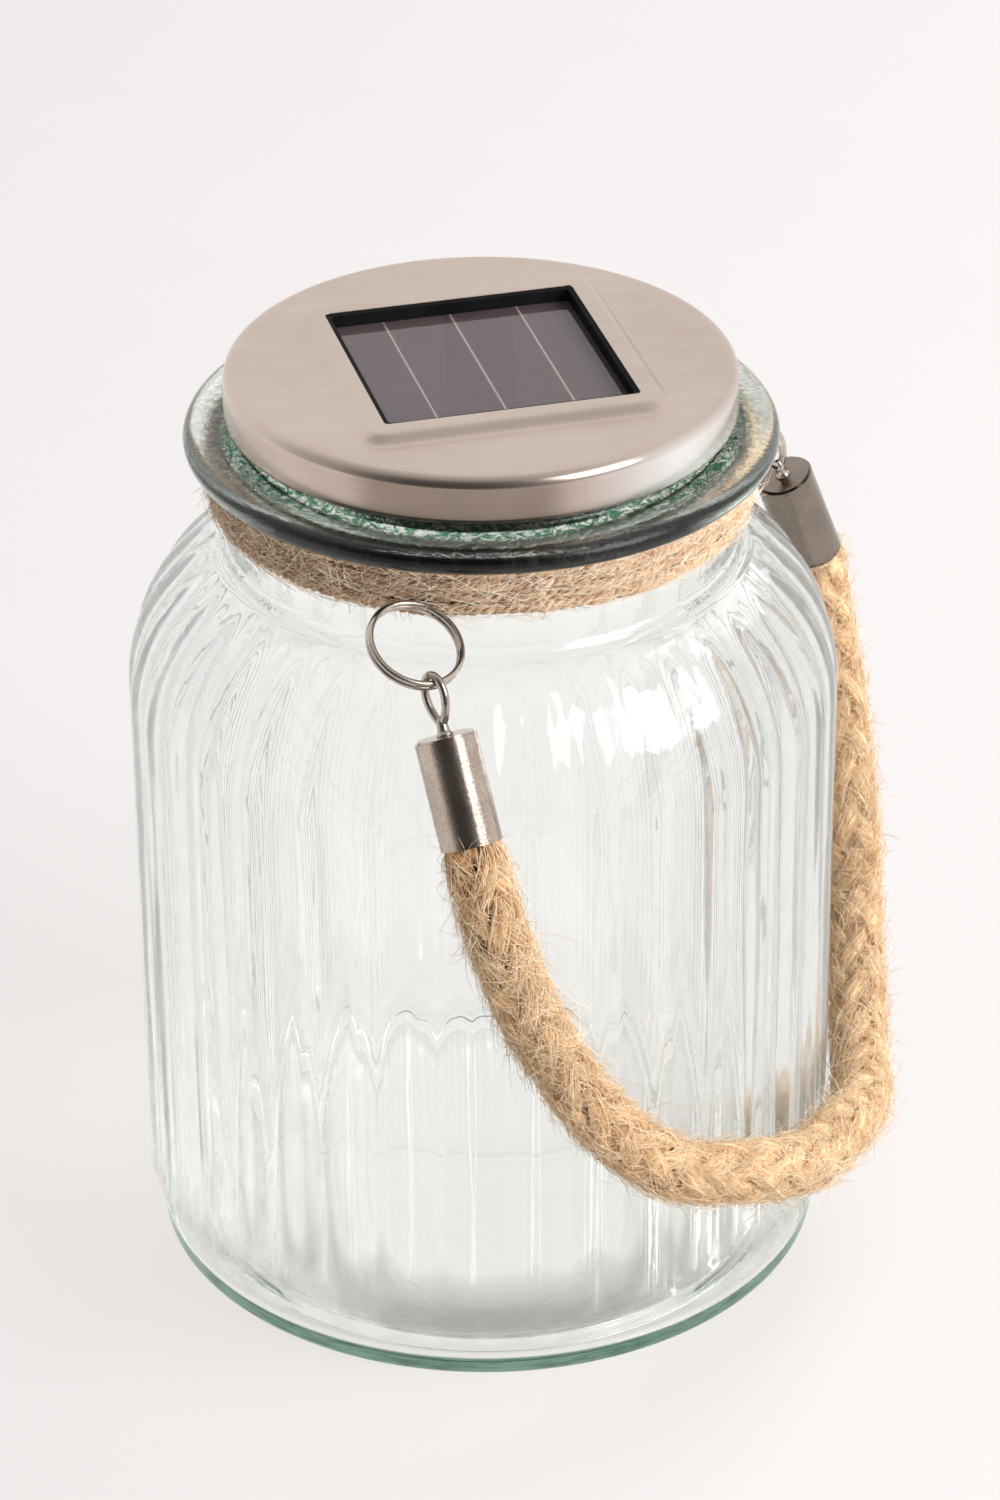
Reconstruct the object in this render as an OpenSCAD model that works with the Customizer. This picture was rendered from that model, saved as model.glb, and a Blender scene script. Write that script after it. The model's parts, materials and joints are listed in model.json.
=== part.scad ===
// Solar mason jar lantern: a fluted glass jar, a steel screw lid with a solar light unit that
// hangs in the mouth, jute twine wound on the neck, and a jute rope handle on two split rings.
// Millimetres, +Z up. The origin is on the table, on the axis of the jar.

/* [Jar] */
// Radius of the jar over the ribs
jar_r = 70; // [68:0.5:72]
// How far the plain foot stands in from the ribs
foot_inset = 2.5; // [2.5:0.25:4]
// Height of the plain foot
foot_h = 6; // [4:0.5:8]
// Distance from the rim down to where the wall turns into the shoulder
shoulder_drop = 66; // [64.5:0.5:67]
// Radius of the shoulder's curve
shoulder_r = 36; // [34:0.5:37]
// Thickness of the glass wall
glass_wall = 4; // [3:0.25:5]
// Thickness of the glass bottom
glass_floor = 6.5; // [5:0.25:9]
// Depth of the hollow under the bottom
punt_depth = 2; // [1:0.25:3]
// Outer radius of the neck
neck_r = 49.8; // [48.5:0.1:50.5]
// Fillet between the shoulder and the neck
neck_fillet_r = 5; // [2:0.5:6]
// Outer radius of the glass collar under the lid
collar_r = 57.5; // [56:0.25:59]
// Thickness of the glass collar
collar_h = 4.8; // [3.5:0.1:5.5]
// Distance from the rim down to the collar's underside
collar_drop = 14.1; // [12.5:0.1:14.5]
// Outer radius of the mouth inside the lid
mouth_r = 47; // [46.2:0.1:47.1]
// Radius of the hole in the mouth
mouth_bore_r = 42.5; // [42.2:0.1:43]
// Height of the jar without its lid
jar_h = 188; // [187:0.1:189]

/* [Flutes] */
// Number of flutes round the jar
flutes = 36; // [24:2:40]
// Depth of each flute
flute_depth = 1.1; // [0.6:0.1:1.6]
// Radius of the flute's hollow
flute_r = 9; // [6:0.5:11]
// Angle up the shoulder at which the flutes run out
flute_sweep = 58; // [40:1:62]

/* [Lid] */
// Outer radius of the steel lid
lid_r = 49.55; // [49.2:0.05:51]
// Height of the lid's skirt with its rounded edge
lid_h = 9.3; // [8.6:0.1:10.4]
// Thickness of the steel sheet
steel = 0.5; // [0.4:0.05:0.7]
// Radius of the lid's rounded edge
lid_edge_r = 2.75; // [1.5:0.25:3.5]
// Side of the square window
window_side = 49.7; // [46:0.1:51]
// Turn of the window about the vertical
window_turn = 14.4; // [-45:0.1:45]
// Width of the raised frame round the window, on its top
frame_w = 3.6; // [3:0.1:4]
// Width of the raised frame's sloping side
frame_slope = 2; // [1:0.1:2.2]
// Height of the raised frame
frame_rise = 1.75; // [1.5:0.05:2]
// Corner radius of the raised frame
frame_corner_r = 3; // [2:0.25:5]
// Wall of the threaded plastic ring inside the skirt
insert_wall = 1.6; // [1:0.1:1.7]
// Thickness of the plastic disc under the steel
insert_t = 1.1; // [0.8:0.1:1.4]
// Thickness of the silicone seal
seal_t = 1; // [0.6:0.1:1.4]

/* [Solar panel] */
// Side of the solar panel
panel_side = 55; // [52:0.5:55.5]
// Number of solar cells side by side
cell_count = 4; // [2:1:6]
// Gap between two solar cells
cell_gap = 0.7; // [0.4:0.1:1.2]
// Thickness of the panel's board
panel_board_t = 1.2; // [0.8:0.1:1.4]
// Thickness of the cells
cell_t = 0.3; // [0.2:0.1:0.4]
// Thickness of the clear cover on the cells
panel_cover_t = 0.9; // [0.6:0.1:1.1]
// Thickness of the tray's floor
tray_floor = 2.3; // [2:0.1:3]
// Wall of the tray round the panel
tray_wall = 1.5; // [1:0.1:2]
// Running gap round the panel in its tray
panel_gap = 0.2; // [0.1:0.05:0.4]

/* [Light unit] */
// Outer radius of the light unit's housing
housing_r = 34; // [33.5:0.25:36]
// Height of the housing below the tray
housing_h = 23; // [22:0.5:26]
// Wall of the housing
housing_wall = 1.6; // [1.2:0.1:2]
// Thickness of the shelf inside the housing
shelf_t = 1.6; // [1.2:0.1:2]
// Height of the chamber under the shelf
lamp_chamber_h = 8.4; // [8:0.1:9]
// Thickness of the lower cover
cover_t = 2; // [1.6:0.1:2.6]
// Radius of the lamp's lens
lens_r = 12.5; // [11.5:0.25:14]
// Radius of the circuit board
board_r = 26.2; // [25.8:0.1:26.8]
// Thickness of the circuit board
board_t = 1.6; // [1:0.1:1.6]
// Number of light-emitting diodes
led_count = 4; // [2:1:6]
// Radius of each diode's dome
led_r = 2.5; // [1.5:0.1:2.5]
// Radius of the circle that the diodes stand on
led_ring_r = 7; // [6.5:0.1:8]
// Radius of the battery
battery_r = 5.25; // [5:0.05:5.25]
// Length of the battery without its cap
battery_len = 43.6; // [42:0.1:43.6]
// Travel of the switch
switch_travel = 2.5; // [2:0.25:3]

/* [Handle] */
// Radius of the jute rope
rope_r = 6; // [5:0.25:6.2]
// Radius of the ferrules on the rope's ends
ferrule_r = 5.9; // [5.7:0.05:6.1]
// Length of the ferrules
ferrule_len = 20.8; // [18:0.1:23]
// Wall of the ferrules
ferrule_wall = 0.6; // [0.4:0.05:0.8]
// Thickness of the wire of the eyes
eye_wire = 1.5; // [1.2:0.1:1.6]
// Width of the hole in the eyes
eye_hole_w = 3.8; // [3.6:0.1:4.4]
// Distance from a ring's wire to the top of its ferrule
eye_reach = 9.6; // [9.2:0.1:10.4]
// Mean radius of the split rings
ring_r = 8.9; // [8.8:0.1:9.3]
// Thickness of the wire of the split rings
ring_wire = 1.2; // [1:0.05:1.3]
// Radius of the twine
twine_r = 2.1; // [1.8:0.05:2.15]
// Number of turns of twine
twine_turns = 3; // [2:1:3]

/* [Hidden] */

$fn = 96;
bite = 0.01;        // overlap that makes two bodies of one piece one solid
through = 1;        // how far a cutter runs past the face it cuts

// Jar
foot_r = jar_r - foot_inset;
shoulder_z = jar_h - shoulder_drop;
collar_z = jar_h - collar_drop;
shoulder_x = jar_r - shoulder_r;                    // the shoulder curve's centre, from the axis
heel_z = foot_h + 2.4 * foot_inset;                 // where the heel reaches the full radius
collar_round = collar_h / 2;
neck_bore_r = neck_r - glass_wall - 0.5;
mouth_round = 1.5;
fillet_x = neck_r + neck_fillet_r;
fillet_z = shoulder_z + sqrt(pow(shoulder_r + neck_fillet_r, 2) - pow(fillet_x - shoulder_x, 2));
fillet_low_z = shoulder_z + (fillet_z - shoulder_z) * shoulder_r / (shoulder_r + neck_fillet_r);
punt_r = foot_r - 9;
flute_reach = jar_r + flute_r - flute_depth;        // axis of a flute's cutter, from the jar's
flute_step = 0.03;                                  // extra depth of the flutes on the shoulder
flute_bend_z = shoulder_z + 0.1;                    // where the flutes start to bend inwards

// Lid stack, upwards from the rim of the jar
seal_top = jar_h + seal_t;
insert_top = seal_top + insert_t;                   // underside of the steel
lid_top = insert_top + steel;
skirt_z = lid_top - lid_h;
skirt_bore_r = lid_r - steel;
insert_r = skirt_bore_r - 0.05;
insert_bore_r = insert_r - insert_wall;
plateau_z = lid_top + frame_rise;

// Panel and tray, hung under the plastic disc of the lid
tray_gap = 0.7;                                     // between the tray and the mouth
tray_r = mouth_bore_r - tray_gap;
panel_top = lid_top - 0.85;
pocket_side = panel_side + 2 * panel_gap;
tray_side = pocket_side + 2 * tray_wall;
panel_z = panel_top - panel_cover_t - cell_t - panel_board_t;
tray_z = panel_z - tray_floor;
cell_pitch = (panel_side - 2 * cell_gap) / cell_count;

// Light unit
flange_t = 1.6;
flange_r = housing_r + 5.5;
housing_z = tray_z - housing_h;                     // lower rim of the housing
housing_bore_r = housing_r - housing_wall;
shelf_z = housing_z + lamp_chamber_h;               // underside of the shelf
shelf_top = shelf_z + shelf_t;
standoff_h = 1.2;
board_top = shelf_z - standoff_h;
board_z = board_top - board_t;
battery_z = shelf_top + battery_r;
cap_len = 0.9;
spring_len = 4.7;
cell_end = (battery_len + cap_len + spring_len) / 2;   // inner faces of the two contacts
contact_t = 0.5;
contact_w = 9;
tab_w = 3;
tab_slot = 0.4;
lead_hole_r = 3;
lead_y = 18;
lead_x = 2;
lead_r = 0.65;
screw_r = 1.25;
screw_bore_r = 1.3;
screw_head_r = 2.2;
screw_head_h = 1.1;
boss_r = 2.6;
boss_x = housing_bore_r - boss_r + 0.4;
cover_z = housing_z - cover_t;
cover_spigot = 1.5;
lens_seat_r = lens_r - 1.5;
switch_y = -20;
switch_size = [9, 5, 3.2];
knob_size = [1.8, 1.6];
knob_gap = 0.2;

// Hangers: [azimuth of the ring, radius and height of its centre, droop, side lean,
//           angle of the link on the ring, heading of the ferrule, its lean, twist of the eye]
twine_x = neck_r + twine_r + 0.05;
eye_play = 0.5;                                     // from the ring's wire to the eye
ring_x = neck_r + ring_r + 2.6;
twine_pitch = 2.75;
twine_top_z = collar_z - twine_r - 0.1;
twine_low_z = twine_top_z - (twine_turns - 1) * twine_pitch;
FRONT = [-101.8, ring_x, twine_low_z - 4.45, 21.6, -24.1, 33.8, -60, 27, 22];
BACK = [31, ring_x - 1.8, twine_low_z - 5.5, 31.4, 0, 0, 28, 21.5, 0];

// Route of the rope between the ferrules, hanging against the jar; it keeps to the jar's sizes
route_scale = [jar_r / 70, jar_r / 70, jar_h / 188];
ROPE_ROUTE = [for (p = [[1.5, -81.5, 114], [5.5, -78.5, 99.5], [10.5, -76, 85.5], [18.5, -76, 71.5],
                        [27.5, -72.5, 58.5], [38.5, -66.5, 48], [51.5, -57.5, 42],
                        [62.5, -45.5, 35.5], [70.5, -30.5, 32.5], [76, -14.5, 28.5],
                        [77, 2.5, 30], [77, 17.5, 40.5], [76.5, 25, 57], [75, 26, 75],
                        [73.5, 32.5, 92], [70.5, 40, 109]])
    [p.x * route_scale.x, p.y * route_scale.y, p.z * route_scale.z]];

// ---- shared helpers ----

// Rotation of a point, first about X, then Y, then Z
function turn_x(p, a) = [p.x, p.y * cos(a) - p.z * sin(a), p.y * sin(a) + p.z * cos(a)];
function turn_y(p, a) = [p.x * cos(a) + p.z * sin(a), p.y, -p.x * sin(a) + p.z * cos(a)];
function turn_z(p, a) = [p.x * cos(a) - p.y * sin(a), p.x * sin(a) + p.y * cos(a), p.z];

function ring_centre(h) = turn_z([h[1], 0, h[2]], h[0]);
function link_point(h) = ring_centre(h)
    + turn_z(turn_y(turn_x([ring_r * cos(h[5]), ring_r * sin(h[5]), 0], h[4]), h[3]), h[0]);
function hang_dir(h) = turn_z([sin(h[7]), 0, -cos(h[7])], h[6]);
function ferrule_top(h) = link_point(h) + eye_reach * hang_dir(h);
function ferrule_mouth(h) = ferrule_top(h) + ferrule_len * hang_dir(h);

function unit(v) = v / norm(v);
function tangent(p, i) = unit(p[min(i + 1, len(p) - 1)] - p[max(i - 1, 0)]);
// Point of a smooth curve through p, a share t of the way from p[i] to p[i + 1]
function curve_point(p, i, t) =
    let (a = p[max(i - 1, 0)], b = p[i], c = p[i + 1], d = p[min(i + 2, len(p) - 1)])
    0.5 * (2 * b + (c - a) * t + (2 * a - 5 * b + 4 * c - d) * t * t
           + (3 * b - a - 3 * c + d) * t * t * t);
function smooth_path(p, steps) =
    concat([for (i = [0 : len(p) - 2], s = [0 : steps - 1]) curve_point(p, i, s / steps)],
           [p[len(p) - 1]]);
// A side direction carried along the path with as little twist as can be
function side_dirs(p, s, i = 0, out = []) =
    i == len(p) ? out
    : let (t = tangent(p, i), u = unit(s - (s * t) * t)) side_dirs(p, u, i + 1, concat(out, [u]));

// Round tube along a path; radii has one entry for each point
module tube(path, radii, sides, side = [0, 0, 1]) {
    n = len(path);
    dirs = side_dirs(path, side);
    points = [for (i = [0 : n - 1], k = [0 : sides - 1])
        let (t = tangent(path, i), u = dirs[i], w = cross(t, u), a = 360 * k / sides)
        path[i] + radii[i] * (cos(a) * u + sin(a) * w)];
    walls = [for (i = [0 : n - 2], k = [0 : sides - 1])
        let (l = (k + 1) % sides)
        each [[i * sides + k, (i + 1) * sides + l, i * sides + l],
              [i * sides + k, (i + 1) * sides + k, (i + 1) * sides + l]]];
    start = [[for (k = [0 : sides - 1]) k]];
    end = [[for (k = [sides - 1 : -1 : 0]) (n - 1) * sides + k]];
    polyhedron(points, concat(walls, start, end), convexity = 6);
}

// Square with round corners, built from exact circles
module round_square(side, r) {
    h = side / 2 - r;
    square([side, side - 2 * r], center = true);
    square([side - 2 * r, side], center = true);
    for (x = [-h, h], y = [-h, h]) translate([x, y]) circle(r, $fn = 32);
}

module at_angles(count, radius, first = 0) {
    for (i = [0 : count - 1]) rotate(first + 360 * i / count) translate([radius, 0, 0]) children();
}

// Frame of a hanging ferrule: origin on its top, +Z up along its axis
module on_hanger(h) {
    translate(ferrule_top(h)) rotate([0, -h[7], h[6]]) rotate(h[8]) children();
}

// Frame of a split ring: origin at its centre, +Z along its axis
module on_ring(h) {
    translate(ring_centre(h)) rotate([0, 0, h[0]]) rotate([0, h[3], 0]) rotate([h[4], 0, 0])
        children();
}

// ---- jar ----

module jar_outline() {
    polygon([[0, 0], [foot_r - 2, 0], [foot_r - 2, 2], [foot_r, 2], [foot_r, foot_h],
             [jar_r, heel_z], [jar_r, shoulder_z], [shoulder_x, shoulder_z + 1],
             [0, shoulder_z + 1]]);
    translate([foot_r - 2, 2]) circle(2, $fn = 32);
    intersection() {
        translate([shoulder_x, shoulder_z]) circle(shoulder_r, $fn = 180);
        translate([0, shoulder_z - bite]) square(2 * jar_r);
    }
    square([shoulder_x, shoulder_z + shoulder_r - 8]);
    translate([0, shoulder_z]) square([neck_r, collar_z + 1 - shoulder_z]);
    // fillet where the shoulder runs into the neck
    difference() {
        translate([0, fillet_low_z]) square([fillet_x, fillet_z - fillet_low_z]);
        translate([fillet_x, fillet_z]) circle(neck_fillet_r, $fn = 64);
    }
    // collar under the lid
    translate([0, collar_z]) square([collar_r - collar_round, collar_h]);
    translate([collar_r - collar_round, collar_z + collar_round]) circle(collar_round, $fn = 48);
    // mouth inside the lid
    translate([0, collar_z]) square([mouth_r, jar_h - mouth_round - collar_z]);
    translate([0, collar_z]) square([mouth_r - mouth_round, jar_h - collar_z]);
    translate([mouth_r - mouth_round, jar_h - mouth_round]) circle(mouth_round, $fn = 32);
}

module jar_hollow() {
    r = jar_r - glass_wall;
    corner = 5;
    translate([0, glass_floor]) square([r - corner, corner + bite]);
    translate([0, glass_floor + corner]) square([r, shoulder_z - glass_floor - corner]);
    translate([r - corner, glass_floor + corner]) circle(corner, $fn = 48);
    intersection() {
        translate([shoulder_x, shoulder_z]) circle(shoulder_r - glass_wall, $fn = 180);
        translate([0, shoulder_z - bite]) square(2 * jar_r);
    }
    translate([0, shoulder_z]) square([neck_bore_r, collar_z - 3 - shoulder_z]);
    polygon([[0, collar_z - 4], [neck_bore_r, collar_z - 4], [neck_bore_r, collar_z - 3],
             [mouth_bore_r, collar_z + 1], [mouth_bore_r, jar_h + through],
             [0, jar_h + through]]);
}

// Straight stretch of one flute, up the wall; its round tip is where it runs out on the heel
module wall_flute() {
    translate([flute_reach, 0, foot_h]) cylinder(h = flute_bend_z - foot_h, r = flute_r, $fn = 64);
}

// The same flute's stretch over the shoulder, a hair deeper so that no two cuts share a face
module shoulder_flute() {
    translate([shoulder_x, 0, flute_bend_z]) rotate([90, 0, 0])
        rotate_extrude(angle = flute_sweep, $fn = 128)
            translate([flute_reach - flute_step - shoulder_x, 0]) circle(flute_r, $fn = 64);
}

module glass_jar() {
    color([0.86, 0.93, 0.90, 0.5]) difference() {
        difference() {
            rotate_extrude($fn = 180) difference() {
                jar_outline();
                jar_hollow();
                translate([-bite, -bite]) square([punt_r + bite, punt_depth + bite]);
            }
            at_angles(flutes, 0, 180 / flutes) wall_flute();
        }
        at_angles(flutes, 0, 180 / flutes) shoulder_flute();
    }
}

module ring_wires(extra = 0) {
    rotate_extrude($fn = 96) for (side = [-1, 1])
        translate([ring_r, side * (ring_wire / 2 - bite)]) circle(ring_wire / 2 + extra, $fn = 32);
}

module neck_twine() {
    color([0.72, 0.55, 0.35]) difference() {
        rotate_extrude($fn = 120) for (i = [0 : twine_turns - 1])
            translate([twine_x, twine_low_z + i * twine_pitch]) circle(twine_r, $fn = 48);
        on_ring(FRONT) ring_wires(0.3);
        on_ring(BACK) ring_wires(0.3);
    }
}

// ---- lid ----

module lid_seal() {
    color([0.9, 0.9, 0.88]) translate([0, 0, jar_h]) difference() {
        cylinder(h = seal_t, r = mouth_r - 0.3);
        translate([0, 0, -through]) cylinder(h = seal_t + 2 * through, r = mouth_bore_r + 0.5);
    }
}

module lid_section(r, top, edge_r) {
    translate([0, skirt_z]) square([r, top - edge_r - skirt_z]);
    translate([0, skirt_z]) square([r - edge_r, top - skirt_z]);
    translate([r - edge_r, top - edge_r]) circle(edge_r, $fn = 64);
}

module raised_frame(side, z, rise, r) {
    foot = side + 2 * frame_slope;
    hull() {
        translate([0, 0, z]) linear_extrude(bite) round_square(foot, r + frame_slope);
        translate([0, 0, z + rise - bite]) linear_extrude(bite) round_square(side, r);
    }
}

module lid_cap() {
    frame_side = window_side + 2 * frame_w;
    color([0.74, 0.72, 0.68]) difference() {
        union() {
            rotate_extrude($fn = 180) lid_section(lid_r, lid_top, lid_edge_r);
            rotate(window_turn)
                raised_frame(frame_side, lid_top - steel / 2, frame_rise + steel / 2, frame_corner_r);
        }
        rotate_extrude($fn = 180) lid_section(skirt_bore_r, insert_top, lid_edge_r - steel);
        translate([0, 0, skirt_z - through]) cylinder(h = 2 * through, r = skirt_bore_r, $fn = 180);
        rotate(window_turn) {
            raised_frame(frame_side - 2 * steel, insert_top - steel, frame_rise + steel,
                         frame_corner_r - steel);
            linear_extrude(plateau_z + through) round_square(window_side, 1);
        }
    }
}

module lid_insert() {
    round_off = lid_edge_r - steel;
    color([0.12, 0.12, 0.13]) difference() {
        rotate_extrude($fn = 180) difference() {
            union() {
                translate([0, skirt_z + 0.3])
                    square([insert_r, insert_top - round_off - skirt_z - 0.3]);
                translate([0, skirt_z + 0.3]) square([insert_r - round_off, insert_top - skirt_z - 0.3]);
                translate([insert_r - round_off, insert_top - round_off]) circle(round_off, $fn = 48);
            }
            translate([-bite, skirt_z]) square([insert_bore_r + bite, seal_top - skirt_z]);
        }
        rotate(window_turn) translate([0, 0, skirt_z])
            linear_extrude(lid_h) square(tray_side + 0.2, center = true);
    }
}

// Tray that holds the panel under the window and closes the light unit
module panel_tray() {
    color([0.07, 0.07, 0.08]) difference() {
        union() {
            translate([0, 0, tray_z]) cylinder(h = seal_top - tray_z, r = tray_r, $fn = 128);
            rotate(window_turn) translate([0, 0, tray_z])
                linear_extrude(insert_top - tray_z) square(tray_side, center = true);
        }
        rotate(window_turn) translate([0, 0, panel_z])
            linear_extrude(plateau_z - panel_z) square(pocket_side, center = true);
        translate([0, lead_y, tray_z - through]) cylinder(h = tray_floor + 2 * through, r = lead_hole_r);
        at_angles(4, flange_r - 2.6, 30) translate([0, 0, tray_z - through])
            cylinder(h = 1.9 + through, r = screw_bore_r, $fn = 24);
    }
}

module panel_board() {
    color([0.08, 0.16, 0.12]) rotate(window_turn) translate([0, 0, panel_z])
        linear_extrude(panel_board_t) square(panel_side, center = true);
}

module solar_cells() {
    color([0.22, 0.15, 0.19]) rotate(window_turn)
        translate([0, 0, panel_z + panel_board_t]) linear_extrude(cell_t)
            for (i = [0 : cell_count - 1])
                translate([(i - (cell_count - 1) / 2) * cell_pitch, 0])
                    square([cell_pitch - cell_gap, panel_side - 2 * cell_gap], center = true);
}

module panel_cover() {
    color([0.35, 0.27, 0.30, 0.6]) rotate(window_turn)
        translate([0, 0, panel_top - panel_cover_t]) linear_extrude(panel_cover_t)
            round_square(panel_side, 0.5);
}

// Two wires from the panel through the tray and the shelf to the circuit board
module panel_leads() {
    drop = panel_z - board_top;
    for (side = [-1, 1]) color(side < 0 ? [0.1, 0.1, 0.1] : [0.75, 0.08, 0.06]) {
        x = side * lead_x;
        path = smooth_path([[x, lead_y, panel_z], [x, lead_y, panel_z - 0.12 * drop],
                            [x * 0.8, lead_y + 0.8, panel_z - 0.45 * drop],
                            [x, lead_y, board_top + 0.12 * drop], [x, lead_y, board_top]], 3);
        tube(path, [for (p = path) lead_r], 8, [0, 1, 0]);
    }
}

// ---- light unit ----

module light_housing() {
    color([0.16, 0.16, 0.17]) difference() {
        union() {
            translate([0, 0, housing_z]) cylinder(h = housing_h, r = housing_r, $fn = 128);
            translate([0, 0, tray_z - flange_t]) cylinder(h = flange_t, r = flange_r, $fn = 128);
        }
        translate([0, 0, shelf_top]) cylinder(h = housing_h, r = housing_bore_r, $fn = 128);
        difference() {
            translate([0, 0, housing_z - through])
                cylinder(h = lamp_chamber_h + through, r = housing_bore_r, $fn = 128);
            at_angles(3, boss_x, 90) translate([0, 0, housing_z + cover_spigot])
                cylinder(h = lamp_chamber_h, r = boss_r, $fn = 32);
            at_angles(3, 17, 30) translate([0, 0, board_top])
                cylinder(h = standoff_h + through, r = 2, $fn = 24);
        }
        at_angles(3, boss_x, 90) translate([0, 0, housing_z])
            cylinder(h = lamp_chamber_h - 1, r = screw_bore_r, $fn = 24);
        at_angles(4, flange_r - 2.6, 30) translate([0, 0, tray_z - flange_t - through])
            cylinder(h = flange_t + 2 * through, r = screw_bore_r, $fn = 24);
        translate([0, lead_y, shelf_z - through]) cylinder(h = shelf_t + 2 * through, r = lead_hole_r);
        for (side = [-1, 1]) translate([side * (cell_end + contact_t / 2), 0, shelf_z])
            cube([contact_t + 2 * tab_slot, tab_w + 2 * tab_slot, 4 * shelf_t], center = true);
    }
    // cradle that keeps the battery in line
    color([0.16, 0.16, 0.17]) for (side = [-1, 1], x = [-12, 12])
        translate([x - 1, side * (battery_r + 1) - 0.7, shelf_top - bite])
            cube([2, 1.4, battery_r + 1]);
}

module round_screw(shank) {
    translate([0, 0, -screw_head_h]) cylinder(h = screw_head_h, r = screw_head_r, $fn = 32);
    translate([0, 0, -bite]) cylinder(h = shank, r = screw_r, $fn = 32);
}

module housing_screws() {
    color([0.7, 0.7, 0.72]) at_angles(4, flange_r - 2.6, 30)
        translate([0, 0, tray_z - flange_t]) round_screw(flange_t + 1.7);
}

module cover_screws() {
    color([0.7, 0.7, 0.72]) at_angles(3, boss_x, 90)
        translate([0, 0, cover_z]) round_screw(cover_t + lamp_chamber_h - 1.6);
}

module circuit_board() {
    color([0.05, 0.32, 0.16]) translate([0, 0, board_z]) cylinder(h = board_t, r = board_r);
}

module leds() {
    dome = 5.4 - led_r;
    color([1, 0.93, 0.7]) at_angles(led_count, led_ring_r, 45) translate([0, 0, board_z - dome]) {
        cylinder(h = dome, r = led_r, $fn = 48);
        sphere(led_r, $fn = 48);
        translate([0, 0, dome - 1]) cylinder(h = 1, r = led_r + 0.3, $fn = 48);
    }
}

module battery() {
    shift = (spring_len - cap_len) / 2;
    color([0.2, 0.45, 0.25]) translate([shift, 0, battery_z]) rotate([0, 90, 0]) {
        cylinder(h = battery_len, r = battery_r, center = true);
        cylinder(h = battery_len / 2 + cap_len, r = 1.9, $fn = 48);
    }
}

module contact(side) {
    x = side > 0 ? cell_end : -cell_end - contact_t;
    translate([x, -contact_w / 2, shelf_top]) cube([contact_t, contact_w, 2 * battery_r]);
    translate([x, -tab_w / 2, board_top]) cube([contact_t, tab_w, shelf_top - board_top + bite]);
}

module battery_plate() {
    color([0.8, 0.8, 0.82]) contact(1);
}

// Contact plate with a cone spring that presses on the battery
module battery_spring() {
    turns = 3.5;
    steps = 12;
    wire = 0.35;
    span = spring_len - 2 * wire;
    coil = [for (i = [0 : turns * steps]) let (s = i / (turns * steps), a = 360 * i / steps)
        [-cell_end + wire + s * span, (4 - 1.4 * s) * cos(a), battery_z + (4 - 1.4 * s) * sin(a)]];
    color([0.8, 0.8, 0.82]) {
        contact(-1);
        tube(coil, [for (p = coil) wire], 6, [1, 0, 0]);
    }
}

module switch_body() {
    cavity = [2 * switch_travel + knob_size.x + 2 * knob_gap, knob_size.y + 2 * knob_gap];
    color([0.75, 0.75, 0.77]) translate([0, switch_y, board_z - switch_size.z]) difference() {
        translate([-switch_size.x / 2, -switch_size.y / 2, 0]) cube(switch_size);
        translate([-cavity.x / 2, -cavity.y / 2, -through]) cube([cavity.x, cavity.y, 2.4 + through]);
    }
}

module switch_knob() {
    top = board_z - switch_size.z + 2.2;
    foot = cover_z - 1;
    color([0.92, 0.92, 0.9])
        translate([-switch_travel / 2 - knob_size.x / 2, switch_y - knob_size.y / 2, foot])
            cube([knob_size.x, knob_size.y, top - foot]);
}

// Lower cover with the lens, the switch slot and the screw holes
module housing_cover() {
    slot = [switch_travel + knob_size.x + 4 * knob_gap, knob_size.y + 4 * knob_gap];
    color([0.16, 0.16, 0.17]) difference() {
        union() {
            translate([0, 0, cover_z]) cylinder(h = cover_t, r = housing_r, $fn = 128);
            translate([0, 0, cover_z]) cylinder(h = cover_t + cover_spigot,
                                                r = housing_bore_r - 0.2, $fn = 128);
        }
        translate([0, 0, cover_z + cover_t]) cylinder(h = housing_h, r = housing_bore_r - 1.6, $fn = 128);
        translate([0, 0, cover_z - through]) cylinder(h = cover_t + 2 * through, r = lens_seat_r);
        translate([0, 0, cover_z + cover_t / 2]) cylinder(h = cover_t, r = lens_r + 0.1);
        translate([-slot.x / 2, switch_y - slot.y / 2, cover_z - through])
            cube([slot.x, slot.y, cover_t + 2 * through]);
        at_angles(3, boss_x, 90) translate([0, 0, cover_z - through])
            cylinder(h = cover_t + cover_spigot + 2 * through, r = screw_bore_r, $fn = 24);
    }
}

module led_lens() {
    color([0.97, 0.97, 0.95, 0.8]) {
        translate([0, 0, cover_z + cover_t / 2]) cylinder(h = cover_t / 2, r = lens_r);
        translate([0, 0, cover_z - 0.4]) cylinder(h = cover_t / 2 + 0.4 + bite, r = lens_seat_r - 0.1);
    }
}

// ---- handle ----

module handle_rope() {
    tuck = ferrule_len - 4;
    ends = [for (h = [FRONT, BACK]) [ferrule_mouth(h) - tuck * hang_dir(h), ferrule_mouth(h)]];
    free = smooth_path(concat([ends[0][1]], ROPE_ROUTE, [ends[1][1]]), 2);
    path = concat([ends[0][0]], free, [ends[1][0]]);
    held_r = ferrule_r - ferrule_wall - 0.2;
    n = len(path);
    radii = [for (i = [0 : n - 1]) i < 2 || i > n - 3 ? held_r : rope_r];
    color([0.80, 0.62, 0.38]) tube(path, radii, 12);
}

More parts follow.
